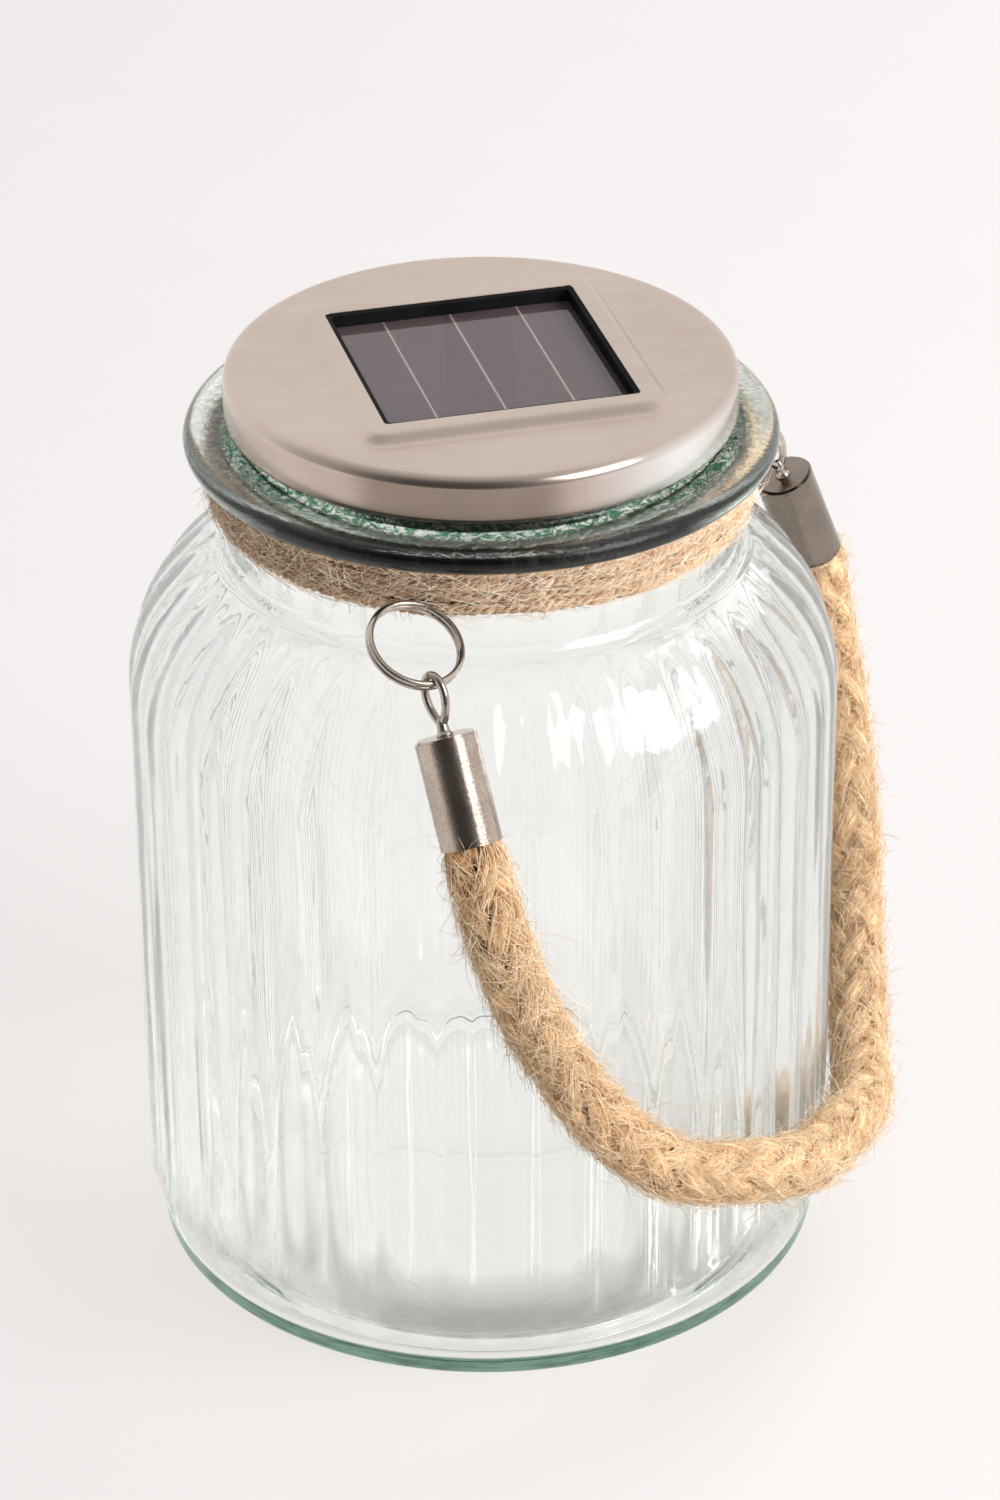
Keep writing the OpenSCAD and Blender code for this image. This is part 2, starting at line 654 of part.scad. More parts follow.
module ferrule(h) {
    shank_r = eye_wire * 0.6;
    color([0.45, 0.42, 0.40]) on_hanger(h) difference() {
        translate([0, 0, -ferrule_len]) union() {
            cylinder(h = ferrule_len - 0.5, r = ferrule_r);
            cylinder(h = ferrule_len, r = ferrule_r - 0.5);
        }
        translate([0, 0, -ferrule_len - through])
            cylinder(h = ferrule_len + through - 1.2, r = ferrule_r - ferrule_wall);
        translate([0, 0, -2]) cylinder(h = 2 + through, r = shank_r + 0.05, $fn = 32);
    }
}

// Wire eye: a long loop that narrows to a stem, riveted through the ferrule's top
module eye(h) {
    arch_r = (eye_hole_w + eye_wire) / 2;
    arch_z = eye_reach + ring_wire * 0.5 + eye_wire / 2 - arch_r + eye_play;
    stem_h = 2;
    shank_r = eye_wire * 0.6;
    leg = [arch_r - 0.5, arch_z - stem_h + 0.4];
    color([0.72, 0.70, 0.67]) on_hanger(h) {
        translate([0, 0, arch_z]) rotate([90, 0, 0]) rotate_extrude(angle = 180, $fn = 64)
            translate([arch_r, 0]) circle(eye_wire / 2, $fn = 32);
        for (side = [-1, 1]) translate([side * arch_r, 0, arch_z]) {
            sphere(eye_wire / 2 + 0.03, $fn = 32);
            rotate([0, 180 + side * atan2(leg.x, leg.y), 0])
                cylinder(h = norm(leg), r = eye_wire / 2, $fn = 32);
        }
        cylinder(h = stem_h + 0.6, r = eye_wire * 0.8, $fn = 32);
        cylinder(h = 0.7, r = eye_wire * 1.1, $fn = 32);
        translate([0, 0, -1.2 - 0.9]) cylinder(h = 2.2, r = shank_r, $fn = 32);
        translate([0, 0, -1.2 - 0.9]) cylinder(h = 0.85, r = shank_r * 2, $fn = 32);
    }
}

module ferrule_front() { ferrule(FRONT); }
module ferrule_back() { ferrule(BACK); }
module eye_front() { eye(FRONT); }
module eye_back() { eye(BACK); }

module split_ring(h) {
    color([0.78, 0.76, 0.73]) on_ring(h) ring_wires();
}

module ring_front() { split_ring(FRONT); }
module ring_back() { split_ring(BACK); }

glass_jar();
neck_twine();
lid_seal();
lid_cap();
lid_insert();
panel_tray();
panel_board();
solar_cells();
panel_cover();
panel_leads();
light_housing();
housing_screws();
circuit_board();
leds();
battery();
battery_spring();
battery_plate();
switch_body();
housing_cover();
led_lens();
cover_screws();
switch_knob();
handle_rope();
ferrule_front();
ferrule_back();
eye_front();
eye_back();
ring_front();
ring_back();
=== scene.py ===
import json
import math
from collections import namedtuple

import bpy
import numpy as np
from mathutils import Matrix, Vector


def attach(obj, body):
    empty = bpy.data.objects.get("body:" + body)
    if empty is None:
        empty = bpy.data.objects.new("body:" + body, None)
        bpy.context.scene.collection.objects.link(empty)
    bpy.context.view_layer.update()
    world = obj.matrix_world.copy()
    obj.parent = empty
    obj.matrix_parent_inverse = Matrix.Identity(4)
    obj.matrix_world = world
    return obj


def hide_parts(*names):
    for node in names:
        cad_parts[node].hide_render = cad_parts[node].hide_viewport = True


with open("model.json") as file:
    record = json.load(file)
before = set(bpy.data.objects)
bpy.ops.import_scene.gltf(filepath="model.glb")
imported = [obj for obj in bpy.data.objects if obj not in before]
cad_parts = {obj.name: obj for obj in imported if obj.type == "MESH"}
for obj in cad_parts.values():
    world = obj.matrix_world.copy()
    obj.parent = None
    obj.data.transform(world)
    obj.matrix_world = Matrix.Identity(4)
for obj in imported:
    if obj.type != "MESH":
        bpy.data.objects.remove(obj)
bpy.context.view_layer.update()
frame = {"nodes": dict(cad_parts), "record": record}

MM = 0.001
CORNERS = ((-1, -1), (1, -1), (1, 1), (-1, 1))
rng = np.random.default_rng(11)
scene = bpy.context.scene
scene.view_settings.view_transform = "Standard"

# ---------------------------------------------------------------- camera, in mm and degrees

CAMERA_PLACE, CAMERA_TURNS = (0, -919.966, 636.891), (30.05694, 0.19677, 0.42125)
LENS, SENSOR = 127.9, 36


def make_camera():
    pitch, yaw, roll = (math.radians(a) for a in CAMERA_TURNS)
    fwd = Vector((math.sin(yaw) * math.cos(pitch), math.cos(yaw) * math.cos(pitch), -math.sin(pitch)))
    right = Vector((math.cos(yaw), -math.sin(yaw), 0))
    down = fwd.cross(right)
    x = math.cos(roll) * right + math.sin(roll) * down
    y = math.sin(roll) * right - math.cos(roll) * down
    cam = bpy.data.objects.new("view", bpy.data.cameras.new("view"))
    cam.data.sensor_width = SENSOR
    cam.data.lens = LENS
    cam.data.clip_start = 0.02
    cam.data.clip_end = 30
    m = Matrix((x, y, -fwd)).transposed().to_4x4()
    m.translation = Vector(CAMERA_PLACE) * MM
    cam.matrix_world = m
    scene.collection.objects.link(cam)
    scene.camera = cam


make_camera()

# ---------------------------------------------------------------- sizes from the part, in mm

NECK_R, COLLAR_Z = 49.8, 173.9
TWINE_X, TWINE_TOP, TWINE_PITCH = 51.95, 171.7, 2.75
TWINE_LOW = TWINE_TOP - 2 * TWINE_PITCH
TWINE_FIRST, TWINE_ROW = TWINE_LOW - 1.6, 2.45
RING_R, EYE_REACH, FERRULE_LEN = 8.9, 9.6, 20.8
RING_X = NECK_R + RING_R + 2.6
# how each end of the handle hangs: place and tilt of the ring, the eye's place on it, lean of the ferrule
Hang = namedtuple("Hang", "azimuth ring_x ring_z ring_lean ring_roll eye_at lean_azimuth lean eye_twist")
FRONT = Hang(-101.8, RING_X, TWINE_LOW - 4.45, 21.6, -24.1, 33.8, -60, 27, 22)
BACK = Hang(31, RING_X - 1.8, TWINE_LOW - 5.5, 31.4, 0, 0, 28, 21.5, 0)
LID_R, LID_TOP, LID_EDGE_R, SKIRT_Z, STEEL, LID_COLUMNS = 49.55, 190.6, 2.75, 181.3, 0.5, 721
WINDOW, WINDOW_TURN, RIM_WIDTH, FRAME_W, FRAME_RISE = 49.7, 14.4, 0.95, 3.6, 1.75
PANEL_SIDE, CELL_GAP, RIBBON_WIDTH, CELL_TOP = 55.0, 0.7, 0.22, 188.85
ROPE_ROUTE = [(1.5, -81.5, 114), (5.5, -78.5, 99.5), (10.5, -76, 85.5), (18.5, -76, 71.5),
              (27.5, -72.5, 58.5), (38.5, -66.5, 48), (51.5, -57.5, 42), (62.5, -45.5, 35.5),
              (70.5, -30.5, 32.5), (76, -14.5, 28.5), (77, 2.5, 30), (77, 17.5, 40.5),
              (76.5, 25, 57), (75, 26, 75), (73.5, 32.5, 92), (70.5, 40, 109)]


def rot(axis, deg):
    return np.array(Matrix.Rotation(math.radians(deg), 3, axis))


def on_ring(h, p):
    turn = rot("Z", h.azimuth)
    tilt = rot("Y", h.ring_lean) @ rot("X", h.ring_roll)
    return turn @ np.array([h.ring_x, 0, h.ring_z]) + turn @ tilt @ np.array(p, float)


def hang_dir(h):
    a = math.radians(h.lean)
    return rot("Z", h.lean_azimuth) @ np.array([math.sin(a), 0, -math.cos(a)])


def ferrule_top(h):
    a = math.radians(h.eye_at)
    return on_ring(h, [RING_R * math.cos(a), RING_R * math.sin(a), 0]) + EYE_REACH * hang_dir(h)


def ferrule_mouth(h):
    return ferrule_top(h) + FERRULE_LEN * hang_dir(h)


# ---------------------------------------------------------------- mesh helpers


def new_mesh(name, verts, faces, material=None, smooth=True, uv=None):
    """Object from points in mm and faces that all have the same number of corners."""
    verts = np.asarray(verts, float).reshape(-1, 3)
    faces = np.asarray(faces, np.int32)
    n = faces.shape[1]
    me = bpy.data.meshes.new(name)
    me.vertices.add(len(verts))
    me.vertices.foreach_set("co", (verts * MM).astype(np.float32).ravel())
    me.loops.add(faces.size)
    me.loops.foreach_set("vertex_index", faces.ravel())
    me.polygons.add(len(faces))
    me.polygons.foreach_set("loop_start", np.arange(0, faces.size, n, dtype=np.int32))
    if uv is not None:
        layer = me.uv_layers.new(name="UVMap")
        layer.data.foreach_set("uv", np.asarray(uv, np.float32).reshape(-1, 2)[faces.ravel()].ravel())
    me.update(calc_edges=True)
    me.polygons.foreach_set("use_smooth", np.full(len(faces), smooth))
    me.validate()
    ob = bpy.data.objects.new(name, me)
    scene.collection.objects.link(ob)
    if material:
        me.materials.append(material)
    return ob


def unit(v):
    return v / np.maximum(np.linalg.norm(v, axis=-1, keepdims=True), 1e-12)


def smooth_path(points, steps):
    """Curve through the points, with this many steps from each to the next."""
    p = np.array(points, float)
    out = []
    for i in range(len(p) - 1):
        a, b, c, d = p[max(i - 1, 0)], p[i], p[i + 1], p[min(i + 2, len(p) - 1)]
        for t in np.arange(steps) / steps:
            out.append(0.5 * (2 * b + (c - a) * t + (2 * a - 5 * b + 4 * c - d) * t**2
                              + (3 * b - a - 3 * c + d) * t**3))
    out.append(p[-1])
    return np.array(out)


def resample(p, step):
    """The path at even steps, and the length at each of them."""
    seg = np.linalg.norm(np.diff(p, axis=0), axis=1)
    s = np.concatenate([[0], np.cumsum(seg)])
    n = max(int(round(s[-1] / step)), 2)
    t = np.linspace(0, s[-1], n + 1)
    return np.stack([np.interp(t, s, p[:, k]) for k in range(3)], axis=1), t


def carried_frames(p, side):
    """Tangent and two side directions along a path, with as little twist as can be."""
    t = unit(np.gradient(p, axis=0))
    u = np.empty_like(p)
    s = np.array(side, float)
    for i in range(len(p)):
        s = s - (s @ t[i]) * t[i]
        s /= np.linalg.norm(s)
        u[i] = s
    return t, u, np.cross(t, u)


def tube_grid(path, side_a, side_b, ra, rb, sides):
    """Rings of an oval tube; ra and rb are the half widths along the two side directions."""
    a = 2 * np.pi * np.arange(sides) / sides
    ra, rb = np.broadcast_to(ra, len(path)), np.broadcast_to(rb, len(path))
    return (path[:, None] + (ra[:, None] * np.cos(a))[..., None] * side_a[:, None]
            + (rb[:, None] * np.sin(a))[..., None] * side_b[:, None])


def grid_faces(rows, cols, base=0, closed=True):
    """Faces between rows of points; closed joins the last column to the first."""
    i, j = np.meshgrid(np.arange(rows - 1), np.arange(cols if closed else cols - 1), indexing="ij")
    k = (j + 1) % cols
    return np.stack([i * cols + j, i * cols + k, (i + 1) * cols + k, (i + 1) * cols + j],
                    axis=-1).reshape(-1, 4) + base


class Many:
    """Collects tubes into one mesh, with u round each tube and v in mm along it."""

    def __init__(self):
        self.v, self.f, self.uv, self.n = [], [], [], 0

    def tube(self, rings, seed=0.0):
        rows, cols = rings.shape[:2]
        # the seam column is doubled so that the texture runs round without a jump
        rings = np.concatenate([rings, rings[:, :1]], axis=1)
        mid = rings.mean(axis=1)
        along = np.concatenate([[0], np.cumsum(np.linalg.norm(np.diff(mid, axis=0), axis=1))])
        u, v = np.meshgrid(np.arange(cols + 1) / cols, along * 0.1 + seed)
        self.v.append(rings.reshape(-1, 3))
        self.uv.append(np.stack([u, v], axis=-1).reshape(-1, 2))
        self.f.append(grid_faces(rows, cols + 1, self.n, closed=False))
        self.n += rows * (cols + 1)

    def build(self, name, material):
        return new_mesh(name, np.concatenate(self.v), np.concatenate(self.f), material,
                        uv=np.concatenate(self.uv))


def fibres(name, paths, radius, material):
    """Hairs: paths is (count, points, 3) in mm, radius one number for each hair."""
    paths = np.asarray(paths, float)
    n, k = paths.shape[:2]
    t = unit(np.gradient(paths, axis=1))
    ref = unit(rng.normal(size=(n, 1, 3)))
    a = unit(np.cross(t, ref))
    b = np.cross(t, a)
    taper = np.linspace(1, 0.45, k)[None, :, None]
    r = np.asarray(radius, float).reshape(-1, 1, 1) * taper
    rings = np.stack([paths + r * (math.cos(q) * a + math.sin(q) * b)
                      for q in (0, 2 * math.pi / 3, 4 * math.pi / 3)], axis=2)
    i, j, c = np.meshgrid(np.arange(n), np.arange(k - 1), np.arange(3), indexing="ij")
    d = (c + 1) % 3
    base = i * k * 3 + j * 3
    faces = np.stack([base + c, base + d, base + 3 + d, base + 3 + c], axis=-1).reshape(-1, 4)
    uv = np.stack([np.broadcast_to(rng.random((n, 1, 1)), (n, k, 3)),
                   np.broadcast_to(np.linspace(0, 1, k)[None, :, None], (n, k, 3))], axis=-1)
    return new_mesh(name, rings.reshape(-1, 3), faces, material, uv=uv.reshape(-1, 2))


# ---------------------------------------------------------------- material helpers


class Mat:
    """Small builder for node materials; sockets are given by name."""

    def __init__(self, name):
        self.mat = bpy.data.materials.new(name)
        self.mat.use_nodes = True
        self.tree = self.mat.node_tree
        self.tree.nodes.clear()
        self.out = self.node("OutputMaterial")

    def node(self, kind, inputs=None, **props):
        nd = self.tree.nodes.new("ShaderNode" + kind)
        for key, value in props.items():
            setattr(nd, key, value)
        for key, value in (inputs or {}).items():
            socket = nd.inputs[key]
            if isinstance(value, bpy.types.NodeSocket):
                self.tree.links.new(value, socket)
            else:
                socket.default_value = value
        return nd

    def coords(self, scale=(1, 1, 1), kind="Object"):
        """Coordinates in mm for Object, or the map's own for UV."""
        k = 1 / MM if kind == "Object" else 1
        place = self.node("TexCoord").outputs[kind]
        return self.node("Mapping", {"Vector": place, "Scale": [k * s for s in scale]}).outputs[0]

    def axes(self):
        """x, y and z in mm."""
        return self.node("SeparateXYZ", {0: self.coords()}).outputs[:3]

    def length(self):
        """Distance from the z axis in mm."""
        return self.node("VectorMath", {0: self.coords((1, 1, 0))}, operation="LENGTH").outputs["Value"]

    def noise(self, scale, detail=3.0, rough=0.5, distortion=0.0, kind="Object"):
        """Noise with scale cells per mm along each axis, or per unit of the map for UV."""
        scale = scale if isinstance(scale, tuple) else (scale,) * 3
        return self.node("TexNoise", {"Vector": self.coords(scale, kind), "Scale": 1.0, "Detail": detail,
                                      "Roughness": rough, "Distortion": distortion}).outputs[0]

    def ramp(self, fac, stops):
        nd = self.node("ValToRGB", {"Fac": fac})
        spots = nd.color_ramp.elements
        while len(spots) < len(stops):
            spots.new(0.5)
        for spot, (place, colour) in zip(spots, stops):
            spot.position = place
            spot.color = (*colour, 1)
        return nd.outputs[0]

    def grey(self, fac, lo, hi, a=0.0, b=1.0, **props):
        """lo where fac is a or less, hi where it is b or more, and a straight run between."""
        return self.node("MapRange", {"Value": fac, "From Min": a, "From Max": b,
                                      "To Min": lo, "To Max": hi}, **props).outputs[0]

    def math(self, op, a, b=0.0):
        return self.node("Math", {0: a, 1: b}, operation=op).outputs[0]

    def times(self, first, *others):
        for other in others:
            first = self.math("MULTIPLY", first, other)
        return first

    def sum(self, *shares):
        """Sum of (value, share) pairs."""
        total = self.times(*shares[0])
        for share in shares[1:]:
            total = self.math("ADD", total, self.times(*share))
        return total

    def mix(self, fac, a, b):
        nd = self.node("Mix", {"Factor": fac}, data_type="RGBA")
        for socket, value in ((nd.inputs[6], a), (nd.inputs[7], b)):
            if isinstance(value, bpy.types.NodeSocket):
                self.tree.links.new(value, socket)
            else:
                socket.default_value = (*value, 1)
        return nd.outputs[2]

    def bump(self, height, strength, distance):
        """Normal from a height, with the distance in mm."""
        return self.node("Bump", {"Height": height, "Strength": strength,
                                  "Distance": distance * MM}).outputs[0]

    def principled(self, inputs):
        return self.node("BsdfPrincipled", inputs)

    def emission(self, colour):
        colour = colour if isinstance(colour, bpy.types.NodeSocket) else (*colour, 1)
        return self.node("Emission", {"Color": colour, "Strength": 1.0})

    def blend(self, fac, a, b):
        return self.node("MixShader", {0: fac, 1: a.outputs[0], 2: b.outputs[0]})

    def largest(self, first, *others):
        for other in others:
            first = self.math("MAXIMUM", first, other)
        return first

    def ray(self, *kinds):
        """1 for rays of these kinds, 0 for all others."""
        path = self.node("LightPath")
        return self.largest(*(path.outputs[f"Is {kind} Ray"] for kind in kinds))

    def surface(self, shader):
        self.tree.links.new(shader.outputs[0], self.out.inputs["Surface"])
        return self.mat

    def plain(self, inputs):
        return self.surface(self.principled(inputs))

    def see_through(self, glass, share, tint):
        """Glass that lets this share of the light straight through to what is behind it."""
        return self.surface(self.blend(share, glass, self.node("BsdfTransparent", {"Color": (*tint, 1)})))


def jute_material(name, dark, mid, pale):
    """Natural jute: fine streaks along each strand, and painted light that makes it paler towards the right.
    """
    m = Mat(name)
    fine = m.noise((15, 1.3, 1), 5.0, 0.72, 0.5, kind="UV")
    broad = m.noise(0.16, 2.0, 0.5)
    blotch = m.noise(0.9, 2.0, 0.6)
    tone = m.sum((fine, 0.62), (broad, 0.22), (blotch, 0.16))
    # painted light: the tone rises from left to right, as if the jute is lit from the right
    tone = m.math("ADD", tone, m.grey(m.axes()[0], -0.055, 0.060, -10, 75))
    colour = m.ramp(tone, [(0.40, dark), (0.49, mid), (0.60, pale)])
    return m.plain({"Base Color": colour, "Roughness": 0.78, "Normal": m.bump(fine, 1.0, 0.5),
                    "Sheen Weight": 0.18, "Sheen Roughness": 0.5, "Specular IOR Level": 0.22})


def fibre_material(name, lo, hi):
    """Single hairs, each with a tone of its own."""
    m = Mat(name)
    each = m.node("SeparateXYZ", {0: m.node("TexCoord").outputs["UV"]}).outputs[0]
    patch = m.noise(0.12, 2.0, 0.5)
    colour = m.ramp(m.sum((each, 0.75), (patch, 0.25)), [(0.1, lo), (0.9, hi)])
    return m.plain({"Base Color": colour, "Roughness": 0.62,
                    "Specular IOR Level": 0.35, "Sheen Weight": 0.15})


def plastic_material(name, base, rough, grain, fleck, spec=0.5):
    """Moulded plastic; grain is the depth of its texture and fleck the share by which its tone varies."""
    m = Mat(name)
    fine = m.noise(2.2, 5.0, 0.6)
    broad = m.noise(0.09, 2.0, 0.5)
    lo = tuple(c * (1 - fleck) for c in base)
    hi = tuple(min(c * (1 + fleck) + 0.002, 1) for c in base)
    colour = m.ramp(broad, [(0.35, lo), (0.65, hi)])
    return m.plain({"Base Color": colour, "Roughness": m.grey(fine, rough - 0.06, rough + 0.08),
                    "Normal": m.bump(fine, grain, 0.04), "Specular IOR Level": spec})


def metal_material(name, lo, hi, rough, pits=0.25, pit_scale=2.2, back_shade=0.0):
    """Plated metal with small pits and cloudy tarnish, and painted shade that can darken it towards the
    back.
    """
    m = Mat(name)
    cloud = m.noise(0.12, 4.0, 0.6)
    fine = m.noise(pit_scale, 4.0, 0.6)
    tone = m.sum((cloud, 0.6), (fine, 0.4))
    colour = m.ramp(tone, [(0.32, lo), (0.68, hi)])
    # painted shade: the colour darkens towards the back (+y), so the back ferrule reads darker
    if back_shade:
        colour = m.mix(m.grey(m.axes()[1], 0, back_shade, -40, 20), colour, (0.13, 0.11, 0.095))
    return m.plain({"Base Color": colour, "Metallic": 1.0, "Normal": m.bump(fine, pits, 0.05),
                    "Roughness": m.grey(tone, rough * 0.8, rough * 1.2, 0.3, 0.7)})


# ---------------------------------------------------------------- jute rope on the handle

JUTE = jute_material("jute_rope", (0.23, 0.105, 0.04), (0.72, 0.42, 0.19), (1.0, 0.75, 0.45))
JUTE_HAIR = fibre_material("jute_rope_hair", (0.62, 0.35, 0.155), (1.0, 0.87, 0.63))
# painted shade: near-black jute for the cores, which show as shade in the gaps between strands and turns
JUTE_CORE_SHADE = jute_material("jute_core_shade", (0.05, 0.022, 0.01), (0.12, 0.06, 0.03), (0.20, 0.11, 0.055))
TWINE = jute_material("jute_twine", (0.24, 0.12, 0.06), (0.78, 0.50, 0.29), (1.0, 0.78, 0.53))
TWINE_HAIR = fibre_material("jute_twine_hair", (0.72, 0.50, 0.31), (1.0, 0.93, 0.78))

# six strands each way, at BRAID_R from the middle, which pass over and under by BRAID_WEAVE
STRANDS, BRAID_PITCH, BRAID_R, BRAID_WEAVE = 6, 60.0, 3.40, 1.12
STRAND_WIDE, STRAND_THICK, CORE_R = 1.58, 1.25, 3.0
# length of rope inside each ferrule, and where the loose hairs start
TUCK, HAIR_END = FERRULE_LEN - 4, 17.2
# how many hairs of a kind (FRAY: at each end), and from how thin to how thick
Hairs = namedtuple("Hairs", "count thin thick")
FLAT, LOOP = Hairs(9000, 0.05, 0.12), Hairs(4500, 0.045, 0.09)
CROSS, FLY, FRAY = Hairs(4200, 0.04, 0.08), Hairs(5200, 0.05, 0.085), Hairs(110, 0.045, 0.09)


def hair_radii(*kinds):
    return np.concatenate([rng.uniform(kind.thin, kind.thick, kind.count) for kind in kinds])


def rope_centre():
    a, b = ferrule_mouth(FRONT), ferrule_mouth(BACK)
    free = smooth_path([a, *ROPE_ROUTE, b], 12)
    start = a - TUCK * hang_dir(FRONT)
    end = b - TUCK * hang_dir(BACK)
    return resample(np.vstack([smooth_path([start, a], 8)[:-1], free, smooth_path([b, end], 8)[1:]]), 1.0)


def round_rope(p, u, w, s, at, theta, radius):
    """Points at distance radius and angle theta round the rope, at lengths at."""
    c, a, b = (np.stack([np.interp(at, s, q[:, k]) for k in range(3)], axis=-1) for q in (p, u, w))
    d = np.cos(theta)[..., None] * unit(a) + np.sin(theta)[..., None] * unit(b)
    return c + radius[..., None] * d


def strand_hairs(strands, count, lo, hi, lift, end_gap, length, points=7):
    """Hairs that follow the strands: each starts on one strand and drifts a little across it."""
    line, across, out, wide, thick = (np.array(q) for q in zip(*strands))
    k = rng.integers(0, len(line), count)[:, None]
    long = rng.uniform(lo, hi, count)
    q = np.linspace(0, 1, points)
    first = rng.uniform(end_gap, length - end_gap - hi - 1, count)
    at = (first[:, None] + long[:, None] * q) * (line.shape[1] - 1) / length
    i = np.floor(at).astype(int)
    f = (at - i)[..., None]

    def along(a):
        a = a[..., None] if a.ndim == 2 else a
        return a[k, i] * (1 - f) + a[k, i + 1] * f

    angle = rng.uniform(0.12, 0.88, count)[:, None] * np.pi + rng.normal(0, 0.35, count)[:, None] * (q - 0.5)
    rise = rng.uniform(-0.04, 0.08, (count, 1)) + rng.gamma(1.6, lift, (count, 1)) * np.sin(np.pi * q)
    c, v = np.cos(angle)[..., None], np.sin(angle)[..., None]
    return (along(line) + (along(wide) + rise[..., None]) * c * along(across)
            + (along(thick) + rise[..., None]) * v * along(out) + rng.normal(0, 0.03, (count, points, 3)))


def make_rope():
    p, s = rope_centre()
    u, w = carried_frames(p, (0, 0, 1))[1:]
    length = s[-1]
    held = np.clip(np.minimum(s, length - s) / TUCK, 0, 1)
    slim = 0.80 + 0.20 * np.clip((held - 0.93) / 0.07, 0, 1)
    many = Many()
    strands = []
    for way in (1, -1):
        for k in range(STRANDS):
            phase = s * 2 * STRANDS / BRAID_PITCH
            wob = (0.20 * np.sin(s / 5.3 + k * 2.1 + way) + 0.16 * np.sin(s / 2.3 + k * 4.2)
                   + 0.12 * np.sin(s / 1.37 + k * 1.3 + 2 * way))
            theta = way * 2 * np.pi * s / BRAID_PITCH + 2 * np.pi * k / STRANDS + 0.05 * wob
            over = (np.cos(2 * np.pi * (phase + 2 * k - 0.5) / 4) if way > 0
                    else np.cos(2 * np.pi * (2 * k - phase - 2.5) / 4))
            r = (BRAID_R + BRAID_WEAVE * np.clip(over * 1.25, -1, 1) + 0.5 * wob) * slim
            d = np.cos(theta)[:, None] * u + np.sin(theta)[:, None] * w
            line = p + r[:, None] * d
            tt = unit(np.gradient(line, axis=0))
            out = unit(d - (d * tt).sum(1, keepdims=True) * tt)
            across = np.cross(tt, out)
            wide = (STRAND_WIDE + 0.30 * np.clip(over, -0.3, 1) + 0.40 * wob) * slim
            thick = (STRAND_THICK + 0.25 * wob) * slim
            many.tube(tube_grid(line, across, out, wide, thick, 12), seed=3.7 * k + 29 * (way > 0))
            strands.append((line, across, out, wide, thick))
    rope = many.build("rope", JUTE)
    # painted shade: a dark core inside the braid, seen as shade between the strands
    core = Many()
    core.tube(tube_grid(p, u, w, CORE_R * slim, CORE_R * slim, 10))
    core = core.build("rope_core_shade", JUTE_CORE_SHADE)

    def hairs(count, lo, hi, lift, spread, base=5.75, points=7):
        """Hairs from lo to hi mm long that lean off the braid by about spread degrees and lift off it."""
        at = rng.uniform(HAIR_END, length - HAIR_END, count)
        theta = rng.uniform(0, 2 * np.pi, count)
        way = rng.choice([-1, 1], count)
        long = rng.uniform(lo, hi, count)
        lean = np.radians(rng.normal(29, spread, count)) * way
        q = np.linspace(0, 1, points)
        bend = rng.normal(0, 0.35, count)
        ang = lean[:, None] + bend[:, None] * (q - 0.3)
        step = long[:, None] / (points - 1)
        ds = np.cumsum(np.cos(ang) * step, axis=1)
        dt = np.cumsum(np.sin(ang) * step, axis=1) / 6.0
        r = base + lift(count, q)
        end = np.minimum(np.abs(at[:, None] + ds), length - 17)
        pts = round_rope(p, u, w, s, end, theta[:, None] + dt, r)
        return pts + rng.normal(0, 0.05, pts.shape)

    flat = strand_hairs(strands, FLAT.count, 4, 14, 0.07, 16, length)
    loop = strand_hairs(strands, LOOP.count, 3, 9, 0.40, 16, length)
    cross = hairs(CROSS.count, 3, 9, lambda c, q: rng.uniform(-0.5, 0.2, (c, 1))
                  + rng.gamma(1.6, 0.4, (c, 1)) * np.sin(np.pi * q), 38)
    fly = hairs(FLY.count, 3, 11, lambda c, q: rng.gamma(2.0, 0.72, (c, 1)) * q ** 1.3, 60)
    hair = fibres("rope_hair", np.concatenate([flat, loop, cross, fly]),
                  hair_radii(FLAT, LOOP, CROSS, FLY), JUTE_HAIR)

    # frayed ends round the mouths of the ferrules
    frays = []
    for h in (FRONT, BACK):
        mouth, along = ferrule_mouth(h), hang_dir(h)
        a = unit(np.cross(along, [0, 0, 1.0]))
        b = np.cross(along, a)
        for _ in range(FRAY.count):
            th = rng.uniform(0, 2 * np.pi)
            d = math.cos(th) * a + math.sin(th) * b
            side = np.cross(along, d)
            q = np.linspace(0, 1, 7)[:, None]
            long, out, drift = rng.uniform(2.5, 8), rng.gamma(1.6, 0.22), rng.normal(0, 0.8)
            frays.append(mouth + (5.0 + 0.9 * q + out * q**2) * d + (q * long - 0.6) * along
                         + drift * q * side)
    fray = fibres("rope_fray", frays, hair_radii(FRAY, FRAY), JUTE_HAIR)

    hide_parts("handle_rope")
    for piece in (rope, core, hair, fray):
        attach(piece, "handle")


BRIGHT = metal_material("bright_nickel", (0.43, 0.37, 0.32), (0.68, 0.61, 0.55), 0.12, 0.2, 2.4)


